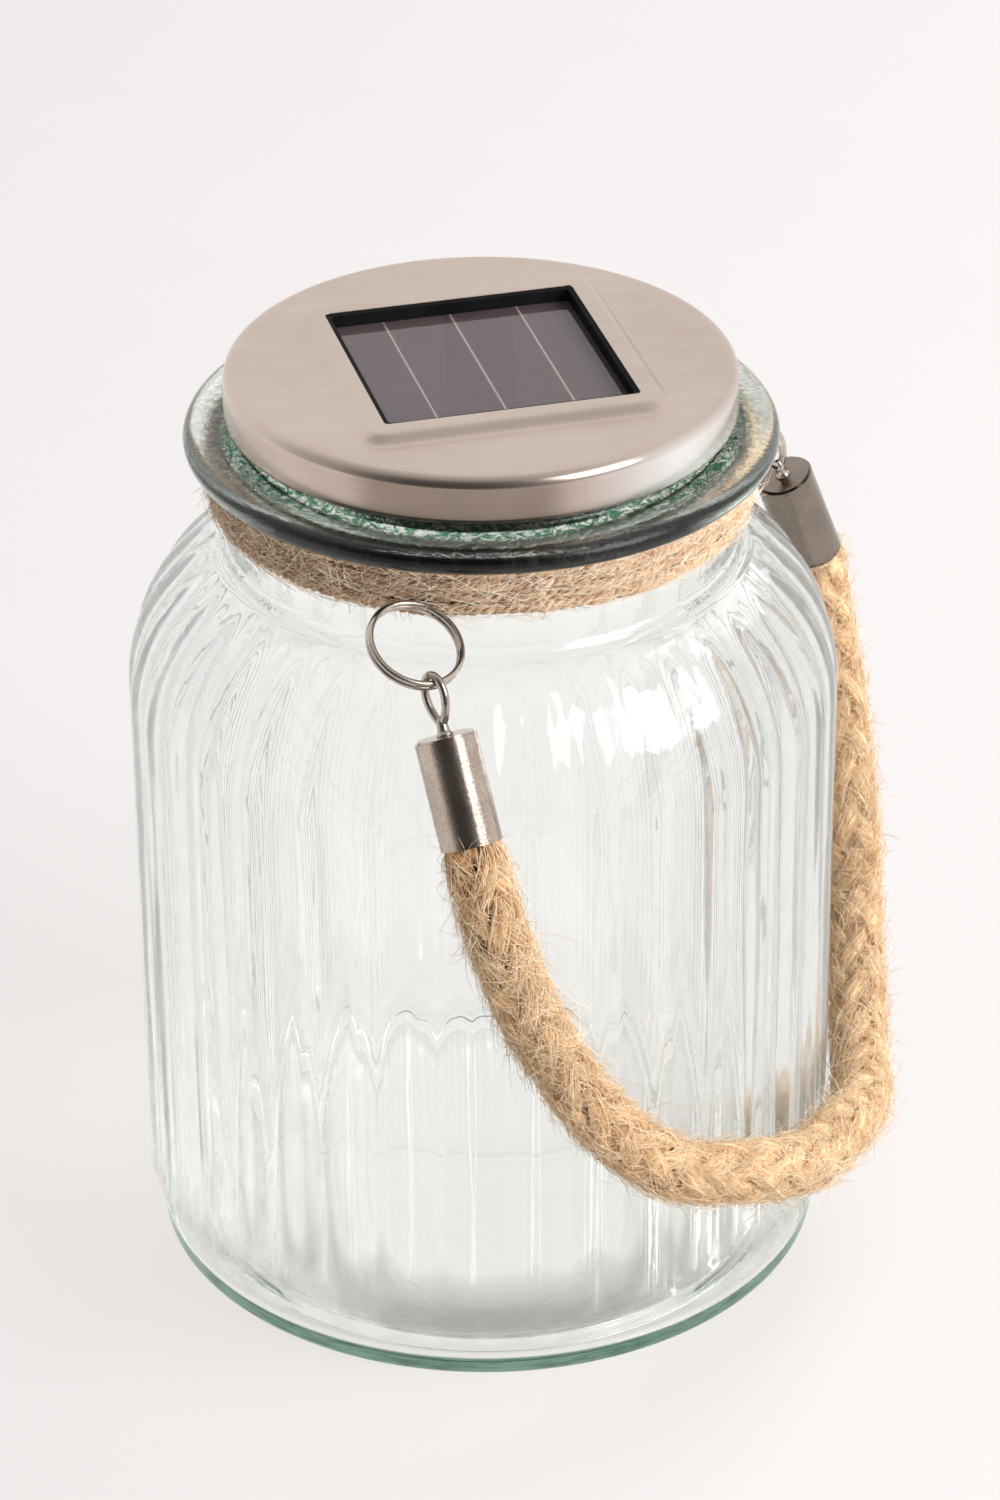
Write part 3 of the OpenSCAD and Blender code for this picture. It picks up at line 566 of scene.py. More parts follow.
def make_eye(side, h):
    """Wire eye: a long drop-shaped loop that grows out of a short stem on the ferrule."""
    x = rot("Z", h.lean_azimuth) @ rot("Y", -h.lean) @ rot("Z", h.eye_twist)
    foot, top, half, wire = 2.3, EYE_REACH + 1.85, 2.62, 0.8
    a = np.linspace(0, 2 * np.pi, 73)
    loop = np.stack([half * np.sin(a) * np.sin(a / 2) ** 0.45, 0 * a,
                     (foot + top) / 2 - (top - foot) / 2 * np.cos(a)], axis=-1)
    many = Many()
    u, w = carried_frames(loop, (0, 1, 0))[1:]
    many.tube(tube_grid(loop, u, w, wire, wire, 16) @ x.T + ferrule_top(h))
    height, radius = np.array([(-0.4, 0.9), (0.0, 1.6), (0.35, 1.62), (0.6, 1.35), (1.0, 1.18), (1.8, 1.08),
                               (2.6, 1.0), (3.2, 0.8), (3.7, 0.35)]).T
    stem = np.stack([0 * height, 0 * height, height], axis=-1)
    side_a, side_b = np.tile([1.0, 0, 0], (len(stem), 1)), np.tile([0, 1.0, 0], (len(stem), 1))
    many.tube(tube_grid(stem, side_a, side_b, radius, radius, 24) @ x.T + ferrule_top(h))
    eye = many.build(f"eye_{side}_wire", BRIGHT)
    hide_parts(f"eye_{side}")
    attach(eye, "handle")
    return eye


EYES = [make_eye("front", FRONT), make_eye("back", BACK)]
make_rope()

# ---------------------------------------------------------------- twine on the neck

TWINE_LINE, TWINE_TIP = TWINE_X - 0.35, COLLAR_Z - 0.08
TWINE_ROWS, PLIES, PLY_R = 4, 3, 0.66
TWINE_FLAT, TWINE_FLY = Hairs(3600, 0.04, 0.085), Hairs(4200, 0.05, 0.09)


def make_twine():
    many = Many()
    az = np.linspace(0, 2 * np.pi, 1300)
    radial = np.stack([np.cos(az), np.sin(az), 0 * az], axis=-1)
    up = np.array([0, 0, 1.0]) + 0 * radial
    plies = []
    for row in range(TWINE_ROWS):
        z = TWINE_FIRST + row * TWINE_ROW
        a = (0.20 * np.sin(3 * az + row * 2.1) + 0.12 * np.sin(7 * az + row)) * (1.0, 0.9, 0.7, 0.2)[row]
        x = TWINE_LINE - 0.25 * (row == 1) + 0.12 * np.sin(5 * az + 1.3 * row)
        zz = z + a
        if row == 0:  # the lowest turn sags a little on both sides of each ring
            for h in (FRONT, BACK):
                away = np.angle(np.exp(1j * (az - math.radians(h.azimuth))))
                zz = zz - 0.55 * np.exp(-(away / 0.16) ** 2)
        line = np.stack([x * np.cos(az), x * np.sin(az), zz], axis=-1)
        turns = (58, 55, 61, 57)[row]
        for ply in range(PLIES):
            ph = turns * az + 2 * np.pi * ply / PLIES + 0.25 * np.sin(9 * az + ply)
            path = line + PLY_R * (np.cos(ph)[:, None] * radial + np.sin(ph)[:, None] * up)
            tt = unit(np.gradient(path, axis=0))
            tt[0] = tt[-1] = unit(tt[0] + tt[-1])
            side = unit(np.cross(tt, up))
            other = np.cross(side, tt)
            r = PLY_R + 0.06 * np.sin(17 * az + ply) + 0.05 * np.sin(41 * az + 2 * ply)
            many.tube(tube_grid(path, side, other, r, r, 10), seed=11.3 * row + 3.1 * ply)
            plies.append((path, up, radial, r, r))
    twine = many.build("twine", TWINE)
    core = Many()
    # painted shade: a dark tube behind the turns, seen as shade in the gaps between them
    ring = (TWINE_X - 1.1) * radial + (TWINE_FIRST + 1.5 * TWINE_ROW) * up
    core.tube(tube_grid(ring, radial, up, 0.7, 1.5 * TWINE_ROW + 0.7, 12))
    core = core.build("twine_core_shade", JUTE_CORE_SHADE)

    def fly_hairs(total, lo, hi, spread, points=6):
        """Hairs from lo to hi mm long that stand away from the turns."""
        row = rng.integers(0, TWINE_ROWS, total)
        a0 = rng.uniform(0, 2 * np.pi, total)
        th = rng.uniform(-0.65 * np.pi, 0.65 * np.pi, total)
        long = rng.uniform(lo, hi, total)
        ang = np.radians(rng.normal(18, spread, total))
        q = np.linspace(0, 1, points)
        bend = rng.normal(0, 0.3, total)
        turn = ang[:, None] + bend[:, None] * (q - 0.3)
        step = long[:, None] / (points - 1)
        da = np.cumsum(np.cos(turn) * step, axis=1) / TWINE_X
        dth = np.cumsum(np.sin(turn) * step, axis=1) / 2.0
        az1 = a0[:, None] + da
        z = TWINE_FIRST + row * TWINE_ROW
        r = 1.5 + rng.gamma(2.0, 0.60, (total, 1)) * q ** 1.2
        ph = th[:, None] + dth
        x = TWINE_LINE + r * np.cos(ph)
        zz = np.minimum(z[:, None] + r * np.sin(ph), TWINE_TIP)
        return np.stack([x * np.cos(az1), x * np.sin(az1), zz], axis=-1)

    flat = strand_hairs(plies, TWINE_FLAT.count, 2, 8, 0.14, 0, 2 * np.pi * TWINE_X, 6)
    flat[..., 2] = np.minimum(flat[..., 2], TWINE_TIP)
    fly = fly_hairs(TWINE_FLY.count, 3, 12, 50)
    hair = fibres("twine_hair", np.concatenate([flat, fly]), hair_radii(TWINE_FLAT, TWINE_FLY), TWINE_HAIR)
    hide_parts("neck_twine")
    for piece in (twine, core, hair):
        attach(piece, "jar")


make_twine()

# ---------------------------------------------------------------- glass jar

WALL_R, WALL_IN, FOOT_R, MOUTH_R, NECK_IN = 70, 66, 67.5, 42.5, 45.3
SHOULDER_X, SHOULDER_Z, SHOULDER_R, SHOULDER_IN = 34, 122, 36, 32
NECK_FILLET = 5
FLUTES, FLUTE_TURN, FLUTE_TOOL_R, FLUTE_TOOL_X, FLUTE_SOFT = 36, 5, 9, 77.9, 0.16
FLUTE_COLUMNS = 14


def ease(t):
    """Smooth step from 0 to 1."""
    t = np.clip(t, 0, 1)
    return t * t * (3 - 2 * t)


def jar_profile():
    """Outline of the jar as (radius, height), outside and then inside, and the count of its outer points."""
    pts = []

    def arc(cx, cz, r, a0, a1, n):
        for a in np.radians(np.linspace(a0, a1, n)):
            pts.append((cx + r * math.cos(a), cz + r * math.sin(a)))

    # underside: hollow, resting ring, foot
    pts += [(x, 2.0) for x in (0.0001, 8, 20, 34, 46, 55, 57.4)]
    arc(57.5, 1.4, 0.6, 90, 20, 3)
    arc(59.2, 0.7, 0.7, 190, 270, 4)
    pts += [(61.5, 0), (64, 0)]
    arc(65.3, 2.2, 2.2, -90, 0, 7)
    pts += [(FOOT_R, 3.4), (FOOT_R, 4.6)]
    # heel, wall, shoulder
    pts += [(FOOT_R + (WALL_R - FOOT_R) * ease(t), 5.2 + 8.8 * t) for t in np.linspace(0, 1, 15)]
    pts += [(WALL_R, z) for z in np.linspace(15.5, 121, 36)]
    fillet_x, reach = NECK_R + NECK_FILLET, SHOULDER_R + NECK_FILLET
    a_end = math.degrees(math.acos((fillet_x - SHOULDER_X) / reach))
    arc(SHOULDER_X, SHOULDER_Z, SHOULDER_R, 0.5, a_end, 40)
    arc(fillet_x, SHOULDER_Z + reach * math.sin(math.radians(a_end)), NECK_FILLET, 180 + a_end, 180, 10)
    pts += [(NECK_R, z) for z in np.linspace(159, 172.4, 8)]
    arc(51.0, 172.7, 1.2, 180, 90, 4)
    # collar
    pts.append((53.4, COLLAR_Z))
    arc(55.1, 176.3, 2.4, -90, 90, 16)
    pts += [(52, 178.7), (49.5, 178.75)]
    arc(48.2, 179.95, 1.2, 270, 180, 4)
    pts += [(47, 181.5), (47, 184), (47, 186)]
    arc(45.5, 186.5, 1.5, 0, 90, 6)
    arc(43.6, 186.9, 1.1, 90, 180, 5)
    outer = len(pts)
    # inside, downwards
    pts += [(MOUTH_R, z) for z in (185, 181, 176.5)]
    pts += [(MOUTH_R + (NECK_IN - MOUTH_R) * t, 175 - 4 * t) for t in np.linspace(0, 1, 6)]
    pts += [(NECK_IN, z) for z in np.linspace(169.5, 153.5, 8)]
    a_in = math.degrees(math.acos((NECK_IN - SHOULDER_X) / SHOULDER_IN))
    arc(SHOULDER_X, SHOULDER_Z, SHOULDER_IN, a_in - 1.5, 0.5, 34)
    pts += [(WALL_IN, z) for z in np.linspace(120.5, 12.5, 36)]
    arc(61, 11.5, 5, 0, -90, 9)
    pts += [(x, 6.5) for x in (56, 48, 38, 27, 16, 7, 0.0001)]
    return np.array(pts), outer


def flute_cut(az):
    """Depth of the flutes round the jar, with their edges melted round."""
    k = np.angle(np.exp(1j * FLUTES * (az - math.radians(FLUTE_TURN)))) / FLUTES
    reach = np.sqrt(np.maximum(FLUTE_TOOL_R**2 - (FLUTE_TOOL_X * np.sin(k)) ** 2, 0))
    depth = WALL_R - (FLUTE_TOOL_X * np.cos(k) - reach)
    return 0.85 * FLUTE_SOFT * np.logaddexp(0, depth / FLUTE_SOFT)


# pressed glass is never even: slow waves in the outer face, drawn streaks in the inner one, as
# waves round the jar, waves for each mm of height, phase and size in mm
OUTER_WAVES = ((5, 0.021, 0.4, 0.06), (9, 0.034, 2.0, 0.04), (14, 0.013, 4.4, 0.05), (23, 0.05, 1.1, 0.02))
INNER_WAVES = ((36, 0.0, 0.6, 0.05), (72, 0.004, 2.6, 0.02), (13, 0.011, 0.2, 0.06),
               (27, 0.012, 3.3, 0.04), (45, 0.009, 5.0, 0.012))


def make_jar(material):
    outline, outer = jar_profile()
    r, z = outline.T
    az = 2 * np.pi * np.arange(FLUTES * FLUTE_COLUMNS) / (FLUTES * FLUTE_COLUMNS)
    turn, height = np.meshgrid(az, z)

    def waves(rows):
        return sum(size * np.sin(k * turn + height * rise * 2 * np.pi + phase)
                   for k, rise, phase, size in rows)

    outside = np.arange(len(r)) < outer
    up = np.degrees(np.arcsin(np.clip((z - SHOULDER_Z) / SHOULDER_R, 0, 1)))
    # the flutes start above the heel and run out on the shoulder
    share = np.where(outside & (z <= 158), ease((z - 6.2) / 7.0) * ease((59 - up) / 16), 0)
    cut = share[:, None] * flute_cut(az)
    body = np.clip((height - 14) / 20, 0, 1) * np.clip((156 - height) / 14, 0, 1)
    radius = r[:, None] - cut + np.where(outside[:, None], waves(OUTER_WAVES) * body * 0.5,
                                         waves(INNER_WAVES) * body)
    # on the shoulder the cut goes in along the surface's own normal
    tilt = np.where((z > SHOULDER_Z) & outside, np.sin(np.radians(np.minimum(up, 60))), 0)[:, None]
    radius = radius + cut * (1 - np.sqrt(1 - tilt**2))
    verts = np.stack([radius * np.cos(turn), radius * np.sin(turn), height - cut * tilt], axis=-1)
    jar = new_mesh("jar_glass_body", verts, grid_faces(len(r), len(az)), material)
    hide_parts("glass_jar")
    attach(jar, "jar")


def jar_colour(m):
    """Nearly clear, with the green of thick glass at the foot and in the collar, and painted shade and
    reflections: a grey floor, dark strokes at the sides, a dark mottle in the collar and a near-black
    overhang in front.
    """
    (x, y, z), r = m.axes(), m.length()
    foot = m.times(m.grey(z, 1, 0, 4.3, 5.0), m.grey(r, 0, 1, 66.3, 67.0), m.grey(y, 1, 0.2, 0, 45))
    streak = m.noise((0.14, 0.14, 1.2), 3.0, 0.6)
    foot_green = m.ramp(streak, [(0.35, (0.004, 0.022, 0.011)), (0.65, (0.03, 0.095, 0.06))])
    # painted shade: the glass floor inside is greyed, for the shade under the jar
    bottom = m.times(m.grey(z, 1, 0, 7, 9), m.grey(r, 1, 0, 54, 60))
    base = m.mix(bottom, (1.0, 0.998, 0.994), (0.87, 0.875, 0.86))
    base = m.mix(foot, base, foot_green)
    # the flutes run out in short green strokes above the foot, painted darker at both sides of the jar (left
    # and right as seen), as painted shade for the dark the thick glass refracts there
    plain = m.grey(z, FOOT_R, WALL_R, 5.2, 14.0, interpolation_type="SMOOTHSTEP")
    stroke = m.times(m.grey(m.math("SUBTRACT", plain, r), 0, 1, 0.15, 0.50), m.grey(z, 1, 0, 10, 16),
                     m.grey(r, 0, 1, 66.3, 67.0), m.grey(m.math("ABSOLUTE", x), 0.12, 0.9, 15, 55))
    base = m.mix(stroke, base, (0.05, 0.14, 0.09))
    collar = m.mix(m.grey(z, 0, 1, 171.5, 175), base, (0.90, 0.93, 0.89))
    # painted reflection: dark green mottle inside the collar's top, for the twine and thread seen through it
    spots = m.noise((0.55, 0.55, 0.8), 6.0, 0.75, 0.8)
    inner = m.times(m.grey(r, 1, 0.25, 50.5, 55.5), m.grey(z, 0, 1, 176, 178.4),
                    m.grey(z, 1, 0.12, 179.6, 182), m.grey(spots, 0.15, 1, 0.42, 0.52))
    mottled = m.mix(inner, collar, (0.012, 0.085, 0.035))
    # painted reflection: the collar's overhang is painted near black in front, where it mirrors the dark
    # room
    under = m.times(m.grey(r, 0, 1, 49.9, 50.6), m.grey(z, 1, 0, 177.9, 178.5),
                    m.grey(z, 0, 1, 171.8, 172.8), m.grey(y, 1, 0.10, -43, -29))
    return m.mix(under, mottled, (0.003, 0.004, 0.004))


def jar_rough(m):
    """The collar and the foot came out of the mould a little dull; the walls are bright."""
    z = m.axes()[2]
    return m.largest(m.grey(z, 0.0, 0.07, 174, 177), m.grey(z, 0.05, 0.0, 4, 8))


def jar_bump(m):
    """Drawn streaks down the walls, slow dents, and small pits in the collar."""
    drawn = m.noise((0.30, 0.30, 0.014), 2.0, 0.5, 0.3)
    seed = m.noise((0.08, 0.08, 0.04), 2.0, 0.5)
    speck = m.noise((1.0, 1.0, 1.4), 3.0, 0.6)
    in_collar = m.grey(m.axes()[2], 0.0, 1.6, 174, 177)
    return m.bump(m.sum((drawn, 0.5), (seed, 1.0), (speck, in_collar)), 0.20, 0.40)


def jar_straight(m):
    """Share of the light that goes straight through the heel, which traps it otherwise."""
    z = m.axes()[2]
    return m.times(m.grey(z, 0, 1, 4.5, 5.2), m.grey(z, 0.85, 0.16, 11, 26), m.grey(z, 1, 0, 150, 160),
                   m.grey(m.length(), 0, 1, 40, 54))


def jar_material():
    """Clear glass that tints with depth and lets most of the light through to what is behind it."""
    m = Mat("jar_glass")
    glass = m.principled({"Base Color": jar_colour(m), "IOR": 1.5, "Roughness": jar_rough(m),
                          "Transmission Weight": 1.0, "Normal": jar_bump(m)})
    depth = m.node("VolumeAbsorption", {"Color": (0.42, 0.74, 0.56, 1), "Density": 6.0})
    m.tree.links.new(depth.outputs[0], m.out.inputs["Volume"])
    straight = m.largest(m.ray("Shadow", "Diffuse"), jar_straight(m))
    return m.see_through(glass, straight, (0.955, 0.948, 0.942))


make_jar(jar_material())

# ---------------------------------------------------------------- finishes of the CAD nodes


def lid_material():
    """Stainless steel with a fine straight grain, faint scratches and a few stains; its skirt has painted
    shade, and a painted highlight at its right end.
    """
    m = Mat("lid_steel")
    grain = m.noise((0.7, 85, 1), 3.0, 0.75, kind="UV")
    wide = m.noise((0.16, 9, 1), 2.0, 0.6, kind="UV")
    cloud = m.noise((0.035, 0.05, 0.05), 3.0, 0.6)
    tone = m.sum((grain, 0.36), (wide, 0.22), (cloud, 0.42))
    colour = m.ramp(tone, [(0.34, (0.565, 0.450, 0.385)), (0.50, (0.625, 0.510, 0.440)),
                           (0.68, (0.685, 0.570, 0.500))])
    # the skirt is painted darker in random bands, partly grain and partly painted shade for the dark room it
    # mirrors; the flat top is brushed duller than the rounded edge and the skirt
    x, y, z = m.axes()
    bands = m.noise((0.30, 0.4, 1), 2.0, 0.5, kind="UV")
    side = m.times(m.grey(z, 0.30, 0, LID_TOP - 3.2, LID_TOP - 1.6), m.grey(bands, 0.2, 1.5, 0.35, 0.62))
    colour = m.mix(side, colour, (0.36, 0.28, 0.23))
    # and the skirt is painted pale at its right end, a painted highlight for the light there
    painted_highlight = m.times(m.grey(x, 0, 1.0, 19, 36), m.grey(y, 1, 0, -30, -5),
                   m.grey(z, 1, 0, LID_TOP - 2.6, LID_TOP - 0.4))
    colour = m.mix(painted_highlight, colour, (0.95, 0.93, 0.92))
    rough = m.math("ADD", m.grey(tone, -0.03, 0.03, 0.3, 0.7),
                   m.grey(z, 0.20, 0.27, LID_TOP - 1.2, LID_TOP - 0.2))
    return m.plain({"Base Color": colour, "Metallic": 1.0, "Roughness": rough,
                    "Normal": m.bump(grain, 0.16, 0.010)})


def square_edge(theta, half, corner):
    """Distance from the middle to the edge of a square with round corners, in the directions theta."""
    lo, hi = np.zeros_like(theta), np.full_like(theta, 2 * half)
    for _ in range(40):
        r = (lo + hi) / 2
        qx, qy = np.abs(r * np.cos(theta)) - half + corner, np.abs(r * np.sin(theta)) - half + corner
        d = np.hypot(np.maximum(qx, 0), np.maximum(qy, 0)) + np.minimum(np.maximum(qx, qy), 0) - corner
        lo, hi = np.where(d < 0, r, lo), np.where(d < 0, hi, r)
    return lo


def lathe(rings, theta):
    """Points of rings given as (radius, height), where a radius may change with the angle theta."""
    x, y = np.cos(theta), np.sin(theta)
    return np.array([np.stack([r * x, r * y, z + 0 * theta], axis=-1) for r, z in rings])


def make_lid(material):
    """Pressed steel lid: a softly raised frame round the window, a rounded edge and a rolled rim."""
    theta = np.linspace(0, 2 * np.pi, LID_COLUMNS)
    turned = theta - math.radians(WINDOW_TURN)
    window = square_edge(turned, WINDOW / 2, 0.9)
    ledge = square_edge(turned, WINDOW / 2 + FRAME_W - 0.7, 2.6)
    foot = square_edge(turned, WINDOW / 2 + FRAME_W + 2.7, 5.6)
    flat_r = LID_R - LID_EDGE_R
    top_z = LID_TOP + FRAME_RISE
    rings = [(window + 3, top_z - STEEL), (window, top_z - STEEL), (window, top_z - 0.14),
             (window + 0.05, top_z - 0.03), (window + 0.16, top_z)]
    rings += [(window + 0.16 + (ledge - window - 0.16) * t, top_z) for t in np.linspace(0.1, 1, 6)]
    rings += [(ledge + (foot - ledge) * t, top_z - FRAME_RISE * ease(t)) for t in np.linspace(0.08, 1, 13)]
    rings += [(foot + (flat_r - foot) * t, LID_TOP) for t in np.linspace(0.06, 1, 16)]
    flat = len(rings)
    rings += [(flat_r + LID_EDGE_R * math.sin(a), LID_TOP - LID_EDGE_R * (1 - math.cos(a)))
              for a in np.linspace(0, math.pi / 2, 22)]
    rings += [(LID_R, SKIRT_Z + h) for h in (5, 3.5, 2, 0.8, 0.25)]
    rings += [(LID_R - 0.08, SKIRT_Z + 0.06), (LID_R - 0.22, SKIRT_Z), (LID_R - STEEL, SKIRT_Z + 0.15),
              (LID_R - STEEL, SKIRT_Z + 1), (LID_R - STEEL, SKIRT_Z + 5.6)]
    verts = lathe(rings, theta)
    # the grain runs straight across the top and round the skirt, which has a map of its own
    uv = verts[..., :2] * 0.1
    uv[flat:, :, 0] = LID_R * theta * 0.1
    uv[flat:, :, 1] = 20 - np.arange(len(rings) - flat)[:, None] * 0.02 + verts[flat:, :, 2] * 0.1
    faces = [grid_faces(flat, LID_COLUMNS, closed=False),
             grid_faces(len(rings) - flat, LID_COLUMNS, flat * LID_COLUMNS, closed=False)]
    lid = new_mesh("lid_steel_shell", verts, np.concatenate(faces), material, uv=uv)
    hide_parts("lid_cap")
    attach(lid, "lid")

    # black rim of the tray, which shows all round inside the window; its near-black, dull finish is partly
    # the black plastic and partly painted shade for the gap round the window
    inside = window - RIM_WIDTH / np.maximum(np.abs(np.cos(turned)), np.abs(np.sin(turned)))
    edge = [(window - 0.01, top_z - 0.16), (inside, top_z - 0.42), (inside, CELL_TOP + 0.2)]
    rim = new_mesh("window_rim", lathe(edge, theta), grid_faces(len(edge), LID_COLUMNS, closed=False),
                   RIM_BLACK_SHADE, smooth=False)
    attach(rim, "lid")


def strip_material(name, lo, hi, rough):
    m = Mat(name)
    colour = m.ramp(m.noise(1.5, 3.0, 0.5), [(0.3, lo), (0.7, hi)])
    return m.plain({"Base Color": colour, "Roughness": rough})


def make_ribbons():
    """The dark gaps between the four solar cells, and the pale ribbon that joins the cells in each."""
    gap = strip_material("cell_gap", (0.10, 0.082, 0.085), (0.13, 0.105, 0.11), 0.45)
    ribbon = strip_material("cell_ribbon", (0.30, 0.25, 0.22), (0.40, 0.34, 0.30), 0.5)
    pitch, length = (PANEL_SIDE - 2 * CELL_GAP) / 4, PANEL_SIDE / 2 - CELL_GAP
    strips = (("gap", CELL_GAP / 2, 0.01, gap), ("ribbon", RIBBON_WIDTH / 2, 0.03, ribbon))
    for i in (-1, 0, 1):
        for name, half, lift, finish in strips:
            corners = [(i * pitch + sx * half, sy * length, CELL_TOP + lift) for sx, sy in CORNERS]
            strip = new_mesh(f"cell_{name}_{i + 2}", np.array(corners) @ rot("Z", WINDOW_TURN).T,
                             [(0, 1, 2, 3)], finish, smooth=False)
            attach(strip, "lid")


def solar_material():
    m = Mat("solar_cell")
    grain = m.noise(0.5, 3.0, 0.6)
    colour = m.ramp(grain, [(0.3, (0.088, 0.066, 0.067)), (0.7, (0.098, 0.074, 0.075))])
    return m.plain({"Base Color": colour, "Roughness": m.grey(grain, 0.32, 0.36), "Specular IOR Level": 0.4})


def resin_material():
    """Clear, smooth cover on the cells."""
    m = Mat("panel_resin")
    fine = m.noise(0.25, 2.0, 0.5)
    glass = m.principled({"Base Color": (0.92, 0.90, 0.91, 1), "Roughness": m.grey(fine, 0.0, 0.012),
                          "IOR": 1.45, "Transmission Weight": 1.0})
    return m.see_through(glass, m.ray("Shadow", "Diffuse"), (0.95, 0.94, 0.95))


def leads_material():
    """Red jacket on one wire and black on the other, told apart by their side."""
    m = Mat("wire_jacket")
    fine = m.noise(1.5, 3.0, 0.5)
    side = m.math("GREATER_THAN", m.axes()[0], 0.0)
    red = m.ramp(fine, [(0.3, (0.42, 0.02, 0.015)), (0.7, (0.55, 0.03, 0.02))])
    colour = m.mix(side, (0.02, 0.02, 0.02), red)
    return m.plain({"Base Color": colour, "Roughness": m.grey(fine, 0.3, 0.42)})


def board_material():
    """Circuit board with paler traces under a glossy coat."""
    m = Mat("circuit_green")
    fine = m.noise(0.9, 3.0, 0.5)
    cells = m.node("TexVoronoi", {"Vector": m.coords((0.22, 0.22, 0.22)), "Scale": 1.0},
                   feature="DISTANCE_TO_EDGE").outputs[0]
    board = m.ramp(fine, [(0.3, (0.015, 0.12, 0.06)), (0.7, (0.03, 0.19, 0.095))])
    colour = m.mix(m.times(m.math("LESS_THAN", cells, 0.05), 0.5), board, (0.06, 0.34, 0.17))
    return m.plain({"Base Color": colour, "Roughness": m.grey(fine, 0.3, 0.42),
                    "Coat Weight": 0.4, "Coat Roughness": 0.2})


def soft_glass(name, colour, rough, shadow):
    """Cloudy clear plastic."""
    m = Mat(name)
    fine = m.noise(1.2, 3.0, 0.5)
    glass = m.principled({"Base Color": (*colour, 1), "Roughness": m.grey(fine, rough * 0.8, rough * 1.2),
                          "IOR": 1.46, "Transmission Weight": 0.7, "Normal": m.bump(fine, 0.15, 0.05)})
    return m.see_through(glass, m.ray("Shadow"), shadow)


BLACK = plastic_material("black_plastic", (0.022, 0.021, 0.023), 0.38, 0.3, 0.15)
# near-black and dull: black plastic with painted shade in it
RIM_BLACK_SHADE = plastic_material("rim_black_shade", (0.006, 0.006, 0.007), 0.7, 0.3, 0.15, 0.08)
LID_STEEL = lid_material()
FINISH = {
    "lid_steel": LID_STEEL,
    "black_plastic": BLACK,
    "silicone": plastic_material("silicone", (0.80, 0.79, 0.76), 0.55, 0.2, 0.04),
    "circuit_green": board_material(),
    "solar_cell": solar_material(),
    "panel_resin": resin_material(),
    "wire_jacket": leads_material(),
    "zinc_steel": metal_material("zinc_steel", (0.50, 0.50, 0.50), (0.72, 0.72, 0.70), 0.3),
    "led_epoxy": soft_glass("led_epoxy", (0.99, 0.93, 0.78), 0.08, (0.95, 0.92, 0.85)),
    "battery_sleeve": plastic_material("battery_sleeve", (0.06, 0.24, 0.11), 0.3, 0.1, 0.1),
    "diffuser": soft_glass("diffuser", (0.95, 0.95, 0.93), 0.35, (0.85, 0.85, 0.84)),
    "white_plastic": plastic_material("white_plastic", (0.78, 0.77, 0.74), 0.4, 0.15, 0.03),
    # dark_nickel carries painted shade towards the back
    "dark_nickel": metal_material("dark_nickel", (0.36, 0.29, 0.24), (0.66, 0.555, 0.48),
                                  0.13, 0.8, 1.9, 0.62),
    "bright_nickel": BRIGHT,
}
for part in frame["record"]["subparts"]:
    if part["material_slot"] in FINISH:
        slots = frame["nodes"][part["node"]].data.materials
        slots.clear()
        slots.append(FINISH[part["material_slot"]])
make_lid(LID_STEEL)
make_ribbons()

# ---------------------------------------------------------------- floor, lamps, background


FLOOR_HALF, FLOOR_GLOW = 4000, 0.48


def make_stage():
    m = Mat("floor")
    fine = m.noise(0.02, 3.0, 0.5)
    colour = m.ramp(fine, [(0.3, (0.635, 0.615, 0.612)), (0.7, (0.645, 0.625, 0.622))])
    lit = m.principled({"Base Color": colour, "Roughness": 0.9, "Specular IOR Level": 0.0})
    seen = m.ray("Camera", "Transmission")
    paper = m.blend(m.times(seen, FLOOR_GLOW), lit, m.emission((0.93, 0.91, 0.907)))
    # what metal and glass mirror: pale paper that ends in the dark room in front
    away = m.node("VectorMath", {0: m.coords((1, 1, 0))}, operation="NORMALIZE").outputs["Vector"]
    front = m.node("VectorMath", {0: away, 1: (-0.17, -0.985, 0)}, operation="DOT_PRODUCT").outputs["Value"]
    dark = m.times(m.grey(front, 0, 1, 0.66, 0.80), m.grey(m.length(), 0, 1, 170, 330))
    mirrored = m.emission(m.mix(dark, (0.97, 0.955, 0.945), (0.50, 0.465, 0.445)))
    floor_material = m.surface(m.blend(m.ray("Glossy"), paper, mirrored))
    corners = [(sx * FLOOR_HALF, sy * FLOOR_HALF, 0) for sx, sy in CORNERS]
    floor = new_mesh("floor", corners, [(0, 1, 2, 3)], floor_material, smooth=False)


def lamp(name, place, target, size, power, colour):
    """Area lamp; place, target and size in m, power in W."""
    data = bpy.data.lights.new(name, "AREA")
    data.shape = "RECTANGLE"
    data.size, data.size_y = size
    data.energy = power
    data.color = colour
    ob = bpy.data.objects.new(name, data)
    ob.location = place
    ob.rotation_euler = (Vector(target) - Vector(place)).to_track_quat("-Z", "Y").to_euler()
    scene.collection.objects.link(ob)
    return ob


FILL_COLOUR, FILL_LEVEL, ROOM_TINT = (1.0, 0.985, 0.975, 1), 0.62, (0.985, 0.975, 0.97)
DARK_ROOM = Vector((-0.22, -0.93, 0.30))
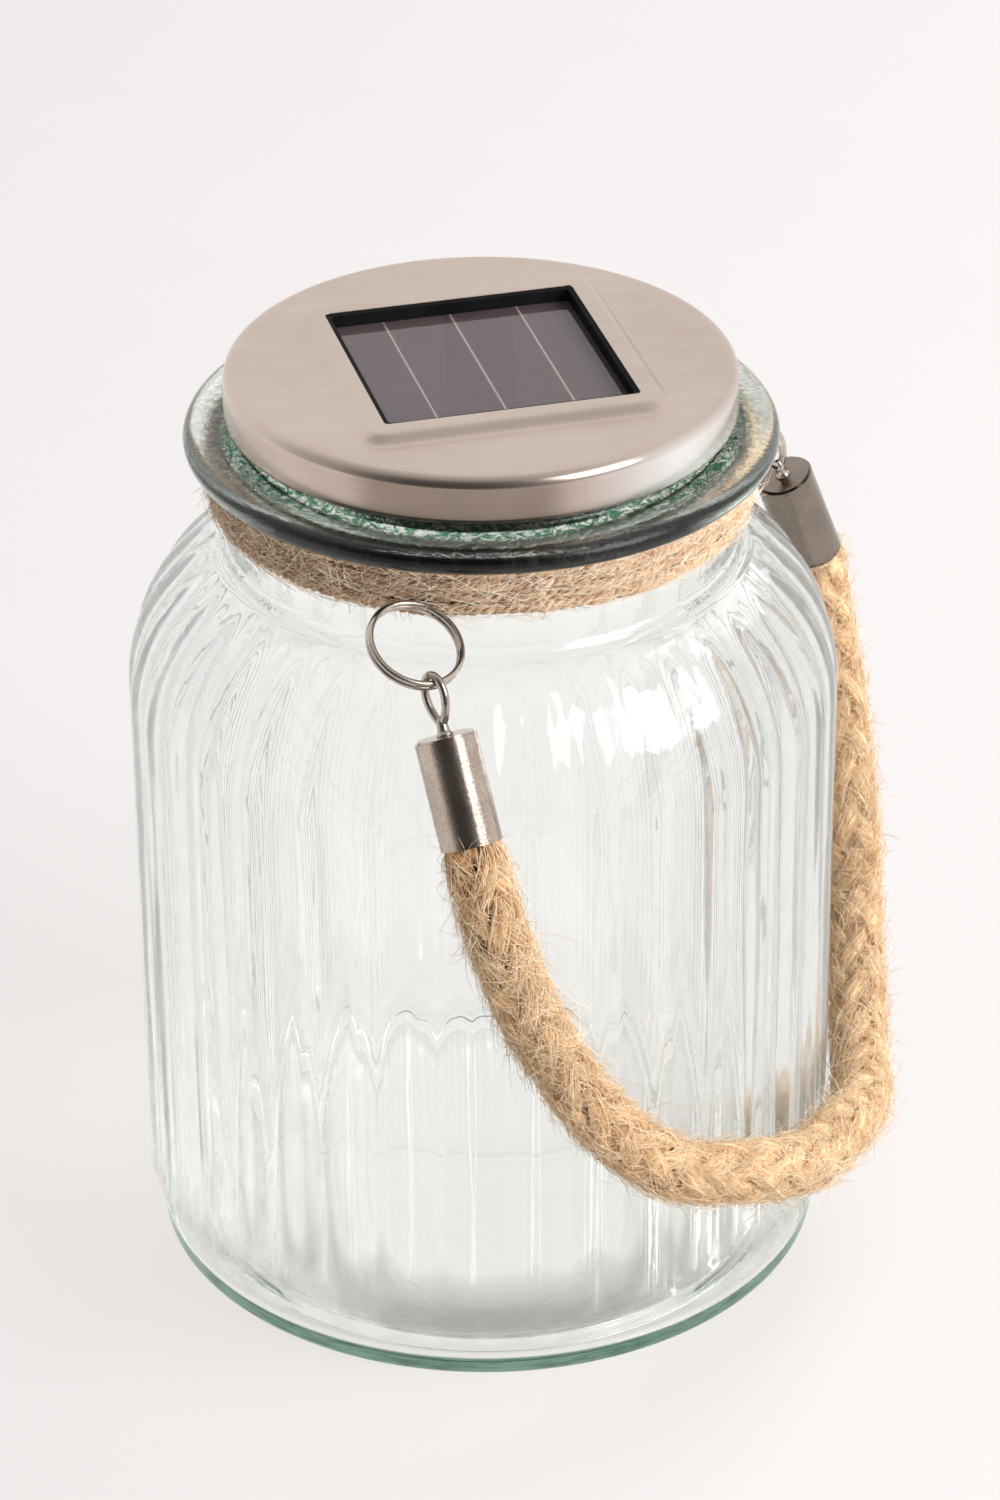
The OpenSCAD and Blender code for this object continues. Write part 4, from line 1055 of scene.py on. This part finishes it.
# level of the room from opposite the dark end (0) to its middle (1), as mirrored and as seen through glass
ROOM_MIRRORED = [(0.45, 0.96), (0.65, 0.66), (0.80, 0.48), (0.93, 0.16), (0.985, 0.08)]
ROOM_THROUGH = [(0.84, 0.97), (0.94, 0.84), (1.0, 0.72)]
LAMPS = (("key", (1.05, -0.50, 0.85), (0, 0, 0.1), (0.7, 0.9), 25, (1.0, 0.985, 0.97)),
         ("top", (0.7, 0.9, 1.05), (0, 0, 0.1), (0.9, 0.9), 10, (1.0, 0.99, 0.98)))
WINDOW_LAMP = ("window", (1.06, -0.79, 0.95), (0, 0, 0.17), (0.8, 0.85), 7.5, (1, 1, 1))


def make_light():
    world = bpy.data.worlds.new("studio")
    scene.world = world
    world.use_nodes = True
    tree = world.node_tree
    tree.nodes.clear()

    def add(kind, **props):
        nd = tree.nodes.new("ShaderNode" + kind)
        for key, value in props.items():
            setattr(nd, key, value)
        return nd

    out = add("OutputWorld")
    path = add("LightPath")
    fill = add("Background")
    fill.inputs[0].default_value = FILL_COLOUR
    fill.inputs[1].default_value = FILL_LEVEL
    # what metal and glass see: pale all round, with the dark room behind the camera
    coord = add("TexCoord")
    towards = add("VectorMath", operation="DOT_PRODUCT")
    tree.links.new(coord.outputs["Generated"], towards.inputs[0])
    towards.inputs[1].default_value = DARK_ROOM.normalized()
    half = add("MapRange")
    tree.links.new(towards.outputs["Value"], half.inputs["Value"])
    half.inputs["From Min"].default_value = -1

    def room(stops):
        ramp = add("ValToRGB")
        tree.links.new(half.outputs[0], ramp.inputs[0])
        spots = ramp.color_ramp.elements
        while len(spots) < len(stops):
            spots.new(0.5)
        for spot, (place, level) in zip(spots, stops):
            spot.position = place
            spot.color = (*(level * tint for tint in ROOM_TINT), 1)
        bg = add("Background")
        tree.links.new(ramp.outputs[0], bg.inputs[0])
        return bg

    def choose(fac, a, b):
        nd = add("MixShader")
        tree.links.new(fac, nd.inputs[0])
        tree.links.new(a.outputs[0], nd.inputs[1])
        tree.links.new(b.outputs[0], nd.inputs[2])
        return nd

    mirrored = choose(path.outputs["Is Glossy Ray"], fill, room(ROOM_MIRRORED))
    through = choose(path.outputs["Is Transmission Ray"], mirrored, room(ROOM_THROUGH))
    tree.links.new(through.outputs[0], out.inputs[0])
    # metal and glass mirror the room and the window, and not the lamps that light the paper
    for values in LAMPS:
        lamp(*values).visible_glossy = False
    window = lamp(*WINDOW_LAMP)
    window.visible_diffuse = window.visible_transmission = False


make_stage()
make_light()
